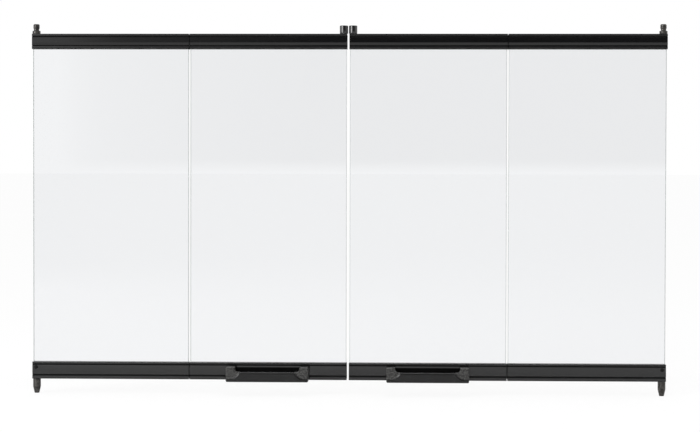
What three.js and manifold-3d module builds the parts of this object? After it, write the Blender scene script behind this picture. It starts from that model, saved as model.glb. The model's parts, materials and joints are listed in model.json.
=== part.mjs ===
/*
 * Bi-fold fireplace glass door: two pairs of frameless panes in black rails.
 *
 * Millimetres, +Z up. X = 0 is the middle of the centre gap, Y = 0 is the plane of the
 * pivots and of the roller track, Z = 0 is the tip of the bottom pivot pins. The room is
 * on the -Y side. The right pair is drawn, and the left pair is its mirror image.
 */
import * as THREE from 'three';
import Module from 'manifold-3d';
import { mergeVertices } from 'three/addons/utils/BufferGeometryUtils.js';

const wasm = await Module();
wasm.setup();

// ---------------------------------------------------------------- driving dimensions

const FIT = 0.3;                    // gap between pieces that seat on each other

// Panels
const PANEL_WIDTH = 226.25;         // one rail, end to end
const JOINT_GAP = 1;                // between the two rails of a pair
const CENTRE_GAP = 3;               // between the pairs
const PIVOT_INSET = 5.4;            // pivot axes, from their rail ends
const ROLLER_INSET = 5.1;           // roller axes, from theirs

// Glass
const GLASS_HEIGHT = 468;
const GLASS_THICKNESS = 5;
const GLASS_BITE = 9;               // depth of the glass in each rail
const GLASS_INSET = 0.8;            // from the rail ends
const GLASS_ARRIS = 0.5;            // ground edge

// Rails: extruded channels with beads and grooves on the front
const TOP_RAIL_HEIGHT = 22;
const BOTTOM_RAIL_HEIGHT = 24.6;
const RAIL_WALL = 1.8;
const GASKET_WALL = 3.1;
const LIP_HEIGHT = 1.4;             // in-turned edges that trap the gasket
const LIP_CLEARANCE = 1.1;          // lip to glass
const BEAD_DEPTH = 0.5;
const GROOVE_DEPTH = 1.2;
const FACE_DROP = 0.3;              // the face lies this much behind the beads
const FACE_CROWN = 0.25;            // rise of the rounded face
const BAND_EDGE = 0.8;              // round edges of a flat band in place of a bead
const TOP_BEADS = { closed: 3.0, upper: 2.2, lower: 1.4, mouth: 4.3, flatMouth: true };
const BOTTOM_BEADS = { closed: 4.4, upper: 2.4, lower: 1.9, mouth: 2.6, flatMouth: false };

// Folded brackets in the rail ends
const SHEET = 1.5;
const BRACKET_END_GAP = 0.8;        // bracket to the rail's end
const BRACKET_INBOARD = 10;         // from the axis to the outside of the web
const TAB_LENGTH = 7.4;
const TAB_RIVET = 4.2;              // rivet, from the seat leg
const GASKET_STOP = 1.5;            // gasket end to bracket

// Top pivots
const PLUNGER_DIAMETER = 9;
const PLUNGER_TIP_DIAMETER = 7;
const PLUNGER_TIP_CHAMFER = 1.2;
const PLUNGER_NECK_DIAMETER = 7.8;
const PLUNGER_NECK_HEIGHT = 3.2;
const PLUNGER_RISE = 14;            // tip above the rail
const PLUNGER_FLANGE = 0.5;         // width of the flange's ledge beyond its hole
const PLUNGER_FLANGE_HEIGHT = 1.2;
const PLUNGER_BORE = 6.2;
const PLUNGER_CROWN = 4;            // solid metal above the bore
const COLLAR_WALL = 1;
const COLLAR_HEIGHT = 4;
const PIVOT_CLEARANCE = 0.3;        // running clearance all round a pivot

// Springs under the plungers
const SPRING_WIRE = 0.8;
const SPRING_TURNS = 7;

// Bottom pivots
const PIN_DIAMETER = 11.2;
const PIN_TIP_DIAMETER = 6.8;
const PIN_LENGTH = 21;              // tip to the rail
const PIN_CONE = 9.5;
const PIN_SHANK = 9;

// Guide rollers
const ROLLER_DIAMETER = 12;
const ROLLER_HEIGHT = 11.7;
const ROLLER_EDGE = 0.8;
const AXLE_DIAMETER = 5;
const AXLE_HEAD = 8;
const AXLE_HEAD_HEIGHT = 1.6;
const AXLE_RECESS = 0.9;            // head below the roller's top

// Hinges on the backs of the rails
const HINGE_STANDOFF = 3;           // axis behind the rails' backs
const HINGE_LEAF = 1.2;
const HINGE_LEAF_LENGTH = 26;
const HINGE_PIN = 2.6;
const HINGE_PIN_HEAD = 4;
const HINGE_PIN_HEAD_HEIGHT = 0.6;
const TOP_HINGE_HEIGHT = 19;
const BOTTOM_HINGE_HEIGHT = 20;
const HINGE_RIVETS = [9, 20];       // from the hinge axis

// Rivets
const RIVET_SHANK = 3.2;
const RIVET_HEAD = 5.4;
const RIVET_HEAD_HEIGHT = 1;
const RIVET_TAIL = 4.8;
const RIVET_TAIL_HEIGHT = 1.1;

// Handles: one casting each, with a block at each end of a low grip bar
const HANDLE_LENGTH = 118;
const HANDLE_HEIGHT = 21;
const HANDLE_DROP = 0.5;            // below the rail's bottom edge
const HANDLE_PROJECTION = 26;
const HANDLE_BLOCK = 12.5;
const HANDLE_BLOCK_STEP = 2;        // blocks lie behind the bar's front
const HANDLE_FILLET = 8;
const HANDLE_EDGE = 2;
const GRIP_HEIGHT = 15.8;
const GRIP_DEPTH = 10;
const HANDLE_SCREW_INSET = 8.2;     // from the handle's ends
const SCREW_DIAMETER = 4;
const SCREW_REACH = 12;             // into the block
const SCREW_HEAD = 8;
const SCREW_HEAD_HEIGHT = 2.2;

// Facets of the round pieces
const ROUND = 20;
const SMALL_ROUND = 10;

// ---------------------------------------------------------------- what follows from them

const RAIL_INSIDE = GLASS_THICKNESS / 2 + GASKET_WALL + 2 * FIT;
const RAIL_HALF = RAIL_INSIDE + RAIL_WALL;
const LIP_INNER = GLASS_THICKNESS / 2 + LIP_CLEARANCE;

const INNER_CENTRE = CENTRE_GAP / 2 + PANEL_WIDTH / 2;
const HINGE_X = CENTRE_GAP / 2 + PANEL_WIDTH + JOINT_GAP / 2;
const OUTER_CENTRE = HINGE_X + JOINT_GAP / 2 + PANEL_WIDTH / 2;
const ROLLER_X = CENTRE_GAP / 2 + ROLLER_INSET;
const PIVOT_X = OUTER_CENTRE + PANEL_WIDTH / 2 - PIVOT_INSET;

const BOTTOM_RAIL_Z = PIN_LENGTH;
const BOTTOM_MOUTH_Z = BOTTOM_RAIL_Z + BOTTOM_RAIL_HEIGHT;
const GLASS_Z = BOTTOM_MOUTH_Z - GLASS_BITE;
const TOP_RAIL_Z = GLASS_Z + GLASS_HEIGHT - GLASS_BITE;
const TOP_RAIL_TOP = TOP_RAIL_Z + TOP_RAIL_HEIGHT;
const BOTTOM_FLOOR_Z = BOTTOM_RAIL_Z + RAIL_WALL;
const TOP_CEILING_Z = TOP_RAIL_TOP - RAIL_WALL;

const PIVOT_HOLE = PLUNGER_DIAMETER + 2 * PIVOT_CLEARANCE;
const PIN_HOLE = PIN_SHANK + 2 * PIVOT_CLEARANCE;
const AXLE_HOLE = AXLE_DIAMETER + 2 * FIT;
const RIVET_HOLE = RIVET_SHANK + 2 * FIT;
const SCREW_HOLE = SCREW_DIAMETER + 2 * FIT;

const BRACKET_HEIGHT = TOP_RAIL_HEIGHT - RAIL_WALL - GLASS_BITE - 2 * FIT;
const BRACKET_HALF = RAIL_INSIDE - FIT;
const BRACKET_OUTBOARD = ROLLER_INSET - BRACKET_END_GAP;
const BRACKET_X = PANEL_WIDTH / 2 - PIVOT_INSET;
const ROLLER_HOLE_X = PANEL_WIDTH / 2 - ROLLER_INSET;
const TOP_TAB_RIVET_Z = TOP_CEILING_Z - FIT - BRACKET_HEIGHT - TAB_RIVET;
const BOTTOM_TAB_RIVET_Z = BOTTOM_FLOOR_Z + FIT + BRACKET_HEIGHT + TAB_RIVET;

const SEAT_Z = TOP_CEILING_Z - FIT - BRACKET_HEIGHT + SHEET;
const FLANGE_TOP_Z = TOP_CEILING_Z - FIT - SHEET - FIT;
const PLUNGER_TIP_Z = TOP_RAIL_TOP + PLUNGER_RISE;
const BORE_TOP_Z = PLUNGER_TIP_Z - PLUNGER_CROWN;
const AXLE_TOP_Z = TOP_RAIL_TOP + FIT + ROLLER_HEIGHT - AXLE_RECESS;

const KNUCKLE_RADIUS = HINGE_STANDOFF - FIT;
const HINGE_Y = RAIL_HALF + HINGE_STANDOFF;
const TOP_HOLLOW_Z = (TOP_CEILING_Z + GLASS_Z + GLASS_HEIGHT + GASKET_WALL + FIT) / 2;
const BOTTOM_HOLLOW_Z = (BOTTOM_FLOOR_Z + GLASS_Z - GASKET_WALL - FIT) / 2;
const TOP_HINGE_Z = TOP_RAIL_Z + (TOP_RAIL_HEIGHT - TOP_HINGE_HEIGHT) / 2;
const BOTTOM_HINGE_Z = BOTTOM_RAIL_Z + (BOTTOM_RAIL_HEIGHT - BOTTOM_HINGE_HEIGHT) / 2;
const HANDLE_SCREW_X = HANDLE_LENGTH / 2 - HANDLE_SCREW_INSET;

// ---------------------------------------------------------------- geometry helpers

/** A closed geometry as a solid that can be cut and joined. */
function solidOf(geometry) {
  const bare = geometry.clone();
  bare.deleteAttribute('normal');
  bare.deleteAttribute('uv');
  const welded = mergeVertices(bare, 1e-5);
  return new wasm.Manifold(new wasm.Mesh({
    numProp: 3,
    vertProperties: new Float32Array(welded.attributes.position.array),
    triVerts: new Uint32Array(welded.index.array),
  }));
}

/** A solid's surface as a geometry. */
function geometryOf(solid) {
  const mesh = solid.getMesh();
  const geometry = new THREE.BufferGeometry();
  geometry.setAttribute('position', new THREE.BufferAttribute(new Float32Array(mesh.vertProperties), 3));
  geometry.setIndex(new THREE.BufferAttribute(new Uint32Array(mesh.triVerts), 1));
  return geometry;
}

/** The first geometry, less the others. */
function cut(geometry, tools) {
  let solid = solidOf(geometry);
  for (const tool of tools) {
    solid = solid.subtract(solidOf(tool));
  }
  return geometryOf(solid);
}

/** Overlapping geometries as one. */
function join(geometries) {
  let solid = solidOf(geometries[0]);
  for (const geometry of geometries.slice(1)) {
    solid = solid.add(solidOf(geometry));
  }
  return geometryOf(solid);
}

/** The mirror image of a geometry in the plane X = 0, with its faces still pointing out. */
function mirrored(geometry) {
  const image = geometry.index ? geometry.toNonIndexed() : geometry.clone();
  const position = image.attributes.position;
  for (let i = 0; i < position.count; i += 3) {
    const [a, b, c] = [i, i + 1, i + 2].map((k) => new THREE.Vector3().fromBufferAttribute(position, k));
    position.setXYZ(i, -a.x, a.y, a.z);
    position.setXYZ(i + 1, -c.x, c.y, c.z);
    position.setXYZ(i + 2, -b.x, b.y, b.z);
  }
  return image;
}

/** A (y, z) outline drawn along X from x0 to x1. */
function alongX(outline, x0, x1) {
  const shape = new THREE.Shape(outline.map(([y, z]) => new THREE.Vector2(y, z)));
  const geometry = new THREE.ExtrudeGeometry(shape, { depth: x1 - x0, bevelEnabled: false });
  const turn = new THREE.Matrix4().makeBasis(
    new THREE.Vector3(0, 1, 0), new THREE.Vector3(0, 0, 1), new THREE.Vector3(1, 0, 0));
  return geometry.applyMatrix4(turn).translate(x0, 0, 0);
}

/** A profile of [radius, z] points turned about the Z axis, from the lower point on the axis up. */
function turned(profile, segments = ROUND) {
  const points = profile.map(([r, z]) => new THREE.Vector2(r, z));
  return new THREE.LatheGeometry(points, segments).rotateX(Math.PI / 2);
}

/** A ring: a closed [radius, z] profile turned about the Z axis. */
function ring(profile, segments = ROUND) {
  return turned([...profile, profile[0]], segments);
}

/** A straight cylinder on the Z axis, at (x, y), from z0 to z1. */
function post(diameter, x, y, z0, z1, segments = ROUND) {
  const height = z1 - z0;
  const geometry = new THREE.CylinderGeometry(diameter / 2, diameter / 2, height, segments);
  return geometry.rotateX(Math.PI / 2).translate(x, y, (z0 + z1) / 2);
}

/** A straight cylinder along Y, at (x, z), from y0 to y1. */
function bore(diameter, x, z, y0, y1, segments = SMALL_ROUND) {
  const geometry = new THREE.CylinderGeometry(diameter / 2, diameter / 2, y1 - y0, segments);
  return geometry.translate(x, (y0 + y1) / 2, z);
}

/** A box between two corners. */
function block(x0, x1, y0, y1, z0, z1) {
  const geometry = new THREE.BoxGeometry(x1 - x0, y1 - y0, z1 - z0);
  return geometry.translate((x0 + x1) / 2, (y0 + y1) / 2, (z0 + z1) / 2);
}

/** Points of an arc about (cy, cz), in degrees from +Y towards +Z. */
function arc(cy, cz, radius, from, to, steps) {
  return Array.from({ length: steps + 1 }, (_, i) => {
    const angle = THREE.MathUtils.degToRad(from + (to - from) * i / steps);
    return [cy + radius * Math.cos(angle), cz + radius * Math.sin(angle)];
  });
}

// ---------------------------------------------------------------- glass, rails, gaskets

function glassPane() {
  const half = PANEL_WIDTH / 2 - GLASS_INSET - GLASS_ARRIS;
  const height = GLASS_HEIGHT - 2 * GLASS_ARRIS;
  const shape = new THREE.Shape();
  shape.moveTo(-half, 0).lineTo(half, 0).lineTo(half, height).lineTo(-half, height).closePath();
  const pane = new THREE.ExtrudeGeometry(shape, {
    depth: GLASS_THICKNESS - 2 * GLASS_ARRIS,
    bevelThickness: GLASS_ARRIS,
    bevelSize: GLASS_ARRIS,
    bevelSegments: 1,
  });
  return pane.rotateX(Math.PI / 2).translate(0, GLASS_THICKNESS / 2 - GLASS_ARRIS, GLASS_ARRIS);
}

/** A rounded bead of a rail's front, from height z0 up: half a wave over its width. */
function bead(z0, width, steps) {
  return Array.from({ length: steps + 1 }, (_, i) => {
    const t = i / steps;
    return [-(RAIL_HALF - BEAD_DEPTH * (1 - Math.sin(Math.PI * t))), z0 + width * t];
  });
}

/** A flat band with round edges, in place of a bead. */
function band(z0, width) {
  const edge = BAND_EDGE;
  return [
    ...arc(edge - RAIL_HALF, z0 + edge, edge, 270, 180, 3),
    ...arc(edge - RAIL_HALF, z0 + width - edge, edge, 180, 90, 3),
  ];
}

/** The rail's front face between the grooves: a shallow arch. */
function face(z0, width, steps) {
  return Array.from({ length: steps + 1 }, (_, i) => {
    const t = 2 * i / steps - 1;
    return [-(RAIL_HALF - FACE_DROP + FACE_CROWN * (1 - t * t)), z0 + width * i / steps];
  });
}

/** The section of a rail with its mouth at z = 0 and its closed wall at z = height. */
function railSection(height, beads) {
  const faceWidth = height - beads.mouth - beads.lower - beads.upper - beads.closed;
  const corner = RAIL_WALL / 2;
  const ceiling = height - RAIL_WALL;
  const groove = (z, width) => [GROOVE_DEPTH - RAIL_HALF, z + width / 2];
  return [
    ...(beads.flatMouth ? band(0, beads.mouth) : bead(0, beads.mouth, 5)),
    groove(beads.mouth, beads.lower),
    ...face(beads.mouth + beads.lower, faceWidth, 6),
    groove(height - beads.closed - beads.upper, beads.upper),
    ...bead(height - beads.closed, beads.closed, 5),
    ...arc(RAIL_HALF - corner, height - corner, corner, 90, 0, 3),
    ...arc(RAIL_HALF - corner, corner, corner, 0, -90, 3),
    [LIP_INNER, 0],
    [LIP_INNER, LIP_HEIGHT],
    [RAIL_INSIDE, LIP_HEIGHT],
    [RAIL_INSIDE, ceiling],
    [-RAIL_INSIDE, ceiling],
    [-RAIL_INSIDE, LIP_HEIGHT],
    [-LIP_INNER, LIP_HEIGHT],
    [-LIP_INNER, 0],
  ];
}

/** The section turned over, so that the mouth looks up. */
function turnedOver(section, height) {
  return section.map(([y, z]) => [y, height - z]);
}

/** Holes through a rail's back wall for the rivets of a hinge leaf, towards side -1 or +1. */
function hingeHoles(hingeSide, z) {
  const axis = hingeSide * (PANEL_WIDTH + JOINT_GAP) / 2;
  return HINGE_RIVETS.map((x) => bore(RIVET_HOLE, axis - hingeSide * x, z, RAIL_INSIDE - 1, RAIL_HALF + 1));
}

/** A top rail with a bracket's hole at x: +x is the outboard end of outer rails, -x of inner ones. */
function topRail(x, hole) {
  const section = railSection(TOP_RAIL_HEIGHT, TOP_BEADS);
  const rail = alongX(section, -PANEL_WIDTH / 2, PANEL_WIDTH / 2);
  return cut(rail, [
    post(hole, x, 0, TOP_RAIL_HEIGHT - RAIL_WALL - 1, TOP_RAIL_HEIGHT + 1),
    bore(RIVET_HOLE, x, TOP_TAB_RIVET_Z - TOP_RAIL_Z, RAIL_INSIDE - 1, RAIL_HALF + 1),
    ...hingeHoles(-Math.sign(x), TOP_HOLLOW_Z - TOP_RAIL_Z),
  ]);
}

function bottomOuterRail() {
  const section = turnedOver(railSection(BOTTOM_RAIL_HEIGHT, BOTTOM_BEADS), BOTTOM_RAIL_HEIGHT);
  const rail = alongX(section, -PANEL_WIDTH / 2, PANEL_WIDTH / 2);
  return cut(rail, [
    post(PIN_HOLE, BRACKET_X, 0, -1, RAIL_WALL + 1),
    bore(RIVET_HOLE, BRACKET_X, BOTTOM_TAB_RIVET_Z - BOTTOM_RAIL_Z, -RAIL_HALF - 1, 1 - RAIL_INSIDE),
    ...hingeHoles(-1, BOTTOM_HOLLOW_Z - BOTTOM_RAIL_Z),
  ]);
}

function bottomInnerRail() {
  const section = turnedOver(railSection(BOTTOM_RAIL_HEIGHT, BOTTOM_BEADS), BOTTOM_RAIL_HEIGHT);
  const rail = alongX(section, -PANEL_WIDTH / 2, PANEL_WIDTH / 2);
  const z = BOTTOM_HOLLOW_Z - BOTTOM_RAIL_Z;
  const screws = [-1, 1].map((end) =>
    bore(SCREW_HOLE, end * HANDLE_SCREW_X, z, -RAIL_HALF - 1, RAIL_HALF + 1));
  return cut(rail, [...screws, ...hingeHoles(1, z)]);
}

/**
 * A channel gasket round a glass edge at z = 0, from x0 to x1. Its legs run up along the glass
 * for side 1 and down for side -1.
 */
function gasket(x0, x1, side) {
  const inner = GLASS_THICKNESS / 2 + FIT;
  const outer = inner + GASKET_WALL;
  const depth = GLASS_BITE - LIP_HEIGHT - FIT;
  const section = [
    [-outer, -FIT - GASKET_WALL], [outer, -FIT - GASKET_WALL], [outer, depth], [inner, depth],
    [inner, -FIT], [-inner, -FIT], [-inner, depth], [-outer, depth],
  ];
  return alongX(section.map(([y, z]) => [y, side * z]), x0, x1);
}

// ---------------------------------------------------------------- brackets, pivots, springs

/**
 * A folded bracket: a leg with a hole, a web, a seat leg, and a tab folded from the seat leg
 * along the rail's wall. The leg with the hole is at z = 0, the axis at the origin, the web
 * towards -X, the tab on the -Y side and upwards.
 */
function bracket(hole) {
  const fold = -BRACKET_INBOARD;
  const channel = [
    [fold, 0], [BRACKET_OUTBOARD, 0], [BRACKET_OUTBOARD, SHEET], [fold + SHEET, SHEET],
    [fold + SHEET, BRACKET_HEIGHT - SHEET], [BRACKET_OUTBOARD, BRACKET_HEIGHT - SHEET],
    [BRACKET_OUTBOARD, BRACKET_HEIGHT], [fold, BRACKET_HEIGHT],
  ];
  const shape = new THREE.Shape(channel.map(([x, z]) => new THREE.Vector2(x, z)));
  const legs = new THREE.ExtrudeGeometry(shape, { depth: 2 * BRACKET_HALF, bevelEnabled: false });
  legs.rotateX(Math.PI / 2).translate(0, BRACKET_HALF, 0);
  const tabTop = BRACKET_HEIGHT + TAB_LENGTH;
  const tab = block(fold, BRACKET_OUTBOARD, -BRACKET_HALF, SHEET - BRACKET_HALF, BRACKET_HEIGHT - SHEET, tabTop);
  const rivetZ = BRACKET_HEIGHT + TAB_RIVET;
  const rivetHole = bore(RIVET_HOLE, 0, rivetZ, -BRACKET_HALF - 1, SHEET - BRACKET_HALF + 1);
  return cut(join([legs, tab]), [post(hole, 0, 0, -1, SHEET + 1), rivetHole]);
}

/** The same bracket turned over about X, for a top rail: holed leg up, tab at the back and down. */
function topBracket(hole) {
  return bracket(hole).rotateX(Math.PI);
}

/** Spring-loaded plunger with its tip at z = 0: chamfered head, neck, guide and stop flange. */
function plunger() {
  const radius = PLUNGER_DIAMETER / 2;
  const flange = PIVOT_HOLE / 2 + PLUNGER_FLANGE;
  const flangeTop = FLANGE_TOP_Z - PLUNGER_TIP_Z;
  const flangeBottom = flangeTop - PLUNGER_FLANGE_HEIGHT;
  const neckBottom = TOP_RAIL_TOP + FIT + COLLAR_HEIGHT + FIT - PLUNGER_TIP_Z;
  const neckTop = neckBottom + PLUNGER_NECK_HEIGHT;
  return turned([
    [0, -PLUNGER_CROWN],
    [PLUNGER_BORE / 2, -PLUNGER_CROWN],
    [PLUNGER_BORE / 2, flangeBottom],
    [flange, flangeBottom],
    [flange, flangeTop],
    [radius, flangeTop],
    [radius, neckBottom],
    [PLUNGER_NECK_DIAMETER / 2, neckBottom + 0.4],
    [PLUNGER_NECK_DIAMETER / 2, neckTop - 0.4],
    [radius, neckTop],
    [radius, -PLUNGER_TIP_CHAMFER],
    [PLUNGER_TIP_DIAMETER / 2, 0],
    [0, 0],
  ]);
}

/** Guide collar that stands on the rail round the plunger. */
function collar() {
  const inner = PIVOT_HOLE / 2;
  const outer = inner + COLLAR_WALL;
  return ring([[inner, 0], [outer, 0], [outer, COLLAR_HEIGHT - 0.5], [outer - 0.5, COLLAR_HEIGHT],
    [inner, COLLAR_HEIGHT]]);
}

/** Bottom pivot pin with its tip at z = 0: cone, body with a shoulder, shank. */
function pivotPin() {
  const body = PIN_DIAMETER / 2;
  const shankTop = PIN_LENGTH + RAIL_WALL + FIT + BRACKET_HEIGHT - SHEET - FIT;
  return turned([
    [0, 0],
    [PIN_TIP_DIAMETER / 2 - 0.5, 0],
    [PIN_TIP_DIAMETER / 2, 0.5],
    [body, PIN_CONE],
    [body, PIN_LENGTH - FIT],
    [PIN_SHANK / 2, PIN_LENGTH - FIT],
    [PIN_SHANK / 2, shankTop - 0.6],
    [PIN_SHANK / 2 - 0.6, shankTop],
    [0, shankTop],
  ]);
}

/** Points on the axis of a spring's wire: a helix that starts and ends upright. */
function springPath(radius, height, turns, stepsPerTurn) {
  const lead = SPRING_WIRE;
  const points = [new THREE.Vector3(radius, 0, 0), new THREE.Vector3(radius, 0, lead)];
  const steps = turns * stepsPerTurn;
  for (let i = 1; i < steps; i += 1) {
    const t = i / steps;
    const angle = 2 * Math.PI * turns * t;
    const z = lead * 1.6 + (height - 3.2 * lead) * t;
    points.push(new THREE.Vector3(radius * Math.cos(angle), radius * Math.sin(angle), z));
  }
  points.push(new THREE.Vector3(radius, 0, height - lead), new THREE.Vector3(radius, 0, height));
  return points;
}

/** The least distance between two stretches of a wire that are half a turn or more apart, less the wire. */
function leastGap(points, stepsPerTurn, wire) {
  let least = Infinity;
  for (let i = 0; i < points.length; i += 1) {
    for (let j = i + Math.ceil(stepsPerTurn / 2); j < points.length; j += 1) {
      least = Math.min(least, points[i].distanceTo(points[j]) - wire);
    }
  }
  return least;
}

/** A tube of round section along a line of points, with flat ends. */
function tube(points, radius, sides) {
  const rings = [];
  let across = new THREE.Vector3(1, 0, 0);
  points.forEach((point, i) => {
    const before = points[Math.max(i - 1, 0)];
    const after = points[Math.min(i + 1, points.length - 1)];
    const ahead = after.clone().sub(before).normalize();
    across = across.clone().addScaledVector(ahead, -across.dot(ahead)).normalize();
    const up = ahead.clone().cross(across);
    rings.push(Array.from({ length: sides }, (_, k) => {
      const angle = 2 * Math.PI * k / sides;
      return point.clone()
        .addScaledVector(across, radius * Math.cos(angle))
        .addScaledVector(up, radius * Math.sin(angle));
    }));
  });
  const vertices = [...rings.flat(), points[0], points[points.length - 1]];
  const faces = [];
  for (let i = 0; i + 1 < rings.length; i += 1) {
    for (let k = 0; k < sides; k += 1) {
      const next = (k + 1) % sides;
      const [a, b] = [i * sides + k, i * sides + next];
      faces.push(a, b, b + sides, a, b + sides, a + sides);
    }
  }
  const last = (rings.length - 1) * sides;
  for (let k = 0; k < sides; k += 1) {
    const next = (k + 1) % sides;
    faces.push(rings.length * sides, next, k, rings.length * sides + 1, last + k, last + next);
  }
  const geometry = new THREE.BufferGeometry().setFromPoints(vertices);
  geometry.setIndex(faces);
  return geometry;
}

/** Coil spring between the bracket's seat leg and the top of the plunger's bore. */
function spring() {
  const stepsPerTurn = 8;
  const radius = PLUNGER_BORE / 2 - FIT - SPRING_WIRE / 2;
  const height = BORE_TOP_Z - SEAT_Z - 2 * FIT;
  const path = springPath(radius, height, SPRING_TURNS, stepsPerTurn);
  console.log(`spring: least gap of the wire to itself ${leastGap(path, stepsPerTurn, SPRING_WIRE).toFixed(2)} mm`);
  return tube(path, SPRING_WIRE / 2, 5);
}

// ---------------------------------------------------------------- rollers

/** The bracket of a guide roller, with the rivet that holds it to the rail's back wall. */
function rollerBracket() {
  const rivetZ = TOP_TAB_RIVET_Z - TOP_CEILING_Z + FIT;
  return join([mirrored(topBracket(AXLE_HOLE)), tabRivet(1, 0).translate(0, RAIL_HALF, rivetZ)]);
}

/** Guide roller with its foot at z = 0: bored, and counterbored for the axle's head. */
function roller() {
  const hole = AXLE_HOLE / 2;
  const recess = AXLE_HEAD / 2 + FIT;
  const outer = ROLLER_DIAMETER / 2;
  const recessFloor = ROLLER_HEIGHT - AXLE_RECESS - AXLE_HEAD_HEIGHT - FIT;
  return ring([
    [hole, 0],
    [outer - ROLLER_EDGE, 0],
    [outer, ROLLER_EDGE],
    [outer, ROLLER_HEIGHT - ROLLER_EDGE],
    [outer - ROLLER_EDGE, ROLLER_HEIGHT],
    [recess, ROLLER_HEIGHT],
    [recess, recessFloor],
    [hole, recessFloor],
  ]);
}

/** Roller axle with its head's top at z = 0: head, shank and riveted foot under the bracket's leg. */
function rollerAxle() {
  const shank = AXLE_DIAMETER / 2;
  const head = AXLE_HEAD / 2;
  const footTop = FLANGE_TOP_Z - AXLE_TOP_Z;
  return turned([
    [0, footTop - AXLE_HEAD_HEIGHT],
    [head - 0.5, footTop - AXLE_HEAD_HEIGHT],
    [head, footTop - AXLE_HEAD_HEIGHT + 0.5],
    [head, footTop],
    [shank, footTop],
    [shank, -AXLE_HEAD_HEIGHT],
    [head, -AXLE_HEAD_HEIGHT],
    [head, -0.5],
    [head - 0.5, 0],
    [0, 0],
  ], 16);
}

// ---------------------------------------------------------------- hinges and rivets

/**
 * A rivet along -Y from a surface at y = 0 to another at y = -reach: a domed head on the first
 * and a flat tail on the second, each with its own gap to the surface.
 */
function rivet(reach, headGap, tailGap) {
  const head = RIVET_HEAD / 2;
  const tail = RIVET_TAIL / 2;
  const shank = RIVET_SHANK / 2;
  return turned([
    [0, -reach - tailGap - RIVET_TAIL_HEIGHT],
    [tail, -reach - tailGap - RIVET_TAIL_HEIGHT],
    [tail, -reach - tailGap],
    [shank, -reach - tailGap],
    [shank, headGap],
    [head, headGap],
    [head * 0.75, headGap + RIVET_HEAD_HEIGHT * 0.75],
    [0, headGap + RIVET_HEAD_HEIGHT],
  ], SMALL_ROUND).rotateX(-Math.PI / 2);
}

/**
 * A leaf of a three-knuckle hinge with its rivets, the axis at the origin and the foot at z = 0.
 * The leaf runs towards side -1 or +1 and carries the knuckles whose numbers are given.
 */
function hingeLeaf(side, height, own, rivetZ) {
  const third = height / 3;
  const near = side > 0 ? 0 : -HINGE_LEAF_LENGTH;
  const back = -HINGE_STANDOFF + FIT;
  const pieces = [block(near, near + HINGE_LEAF_LENGTH, back, back + HINGE_LEAF, 0, height)];
  const cuts = [post(HINGE_PIN + 2 * FIT, 0, 0, -1, height + 1, 16)];
  for (let k = 0; k < 3; k += 1) {
    const below = k > 0 ? FIT / 2 : 0;
    const above = k < 2 ? FIT / 2 : 0;
    const z0 = k * third;
    const z1 = z0 + third;
    if (own.includes(k)) {
      pieces.push(post(2 * KNUCKLE_RADIUS, 0, 0, z0 + below, z1 - above, 16));
    } else {
      const reach = [below || 1, above || 1];
      cuts.push(post(2 * (KNUCKLE_RADIUS + FIT), 0, 0, z0 - reach[0], z1 + reach[1], 16));
    }
  }
  const reach = HINGE_LEAF + FIT + RAIL_WALL;
  const rivets = HINGE_RIVETS.map((x) =>
    rivet(reach, 0, FIT).translate(side * x, back + HINGE_LEAF, rivetZ));
  return join([cut(join(pieces), cuts), ...rivets]);
}

/** A hinge pin with peened ends, for a hinge of the given height with its foot at z = 0. */
function hingePin(height) {
  const shank = HINGE_PIN / 2;
  const head = HINGE_PIN_HEAD / 2;
  const foot = -FIT - HINGE_PIN_HEAD_HEIGHT;
  const top = height + FIT + HINGE_PIN_HEAD_HEIGHT;
  return turned([
    [0, foot],
    [head, foot],
    [head, -FIT],
    [shank, -FIT],
    [shank, height + FIT],
    [head, height + FIT],
    [head, top],
    [0, top],
  ], SMALL_ROUND);
}

/** The rivet of a bracket's tab: its head outside the rail, its tail on the tab. */
function tabRivet(side, tailGap) {
  const form = rivet(RAIL_WALL + FIT + SHEET, FIT, tailGap);
  return side > 0 ? form : form.rotateZ(Math.PI);
}

// ---------------------------------------------------------------- handles

/**
 * How much of the handle's section is block at a distance from its middle: 0 along the grip bar,
 * 1 in the block, with a quarter-round fillet up from the bar and a small round edge at its top.
 */
function blockShare(distance) {
  const edgeShare = 0.12;
  const inside = HANDLE_LENGTH / 2 - HANDLE_BLOCK - distance;
  if (inside >= HANDLE_FILLET) {
    return 0;
  }
  if (inside >= 0) {
    const t = 1 - inside / HANDLE_FILLET;
    return (1 - edgeShare) * (1 - Math.sqrt(1 - t * t));
  }
  const s = Math.max(0, 1 + inside / HANDLE_EDGE);
  return 1 - edgeShare * (1 - Math.sqrt(1 - s * s));
}

/** The handle's (y, z) section at x: a rounded rectangle between the rail side and the front. */
function handleSection(x) {
  const distance = Math.abs(x);
  const share = blockShare(distance);
  const toEnd = Math.min(HANDLE_LENGTH / 2 - distance, HANDLE_EDGE);
  const inset = HANDLE_EDGE - Math.sqrt(HANDLE_EDGE ** 2 - (HANDLE_EDGE - toEnd) ** 2);
  const back = -FIT - (1 - share) * (HANDLE_PROJECTION - GRIP_DEPTH - FIT);
  const front = -HANDLE_PROJECTION + share * HANDLE_BLOCK_STEP + inset;
  const top = GRIP_HEIGHT + share * (HANDLE_HEIGHT - GRIP_HEIGHT) - inset;
  const foot = inset;
  const rear = 1 + 2 * (1 - share);
  const nose = 3;
  return [
    ...arc(back - rear, top - rear, rear, 0, 90, 4),
    ...arc(front + nose + 1, top - nose - 1, nose + 1, 90, 180, 4),
    ...arc(front + nose, foot + nose, nose, 180, 270, 4),
    ...arc(back - rear, foot + rear, rear, 270, 360, 4),
  ];
}

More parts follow.
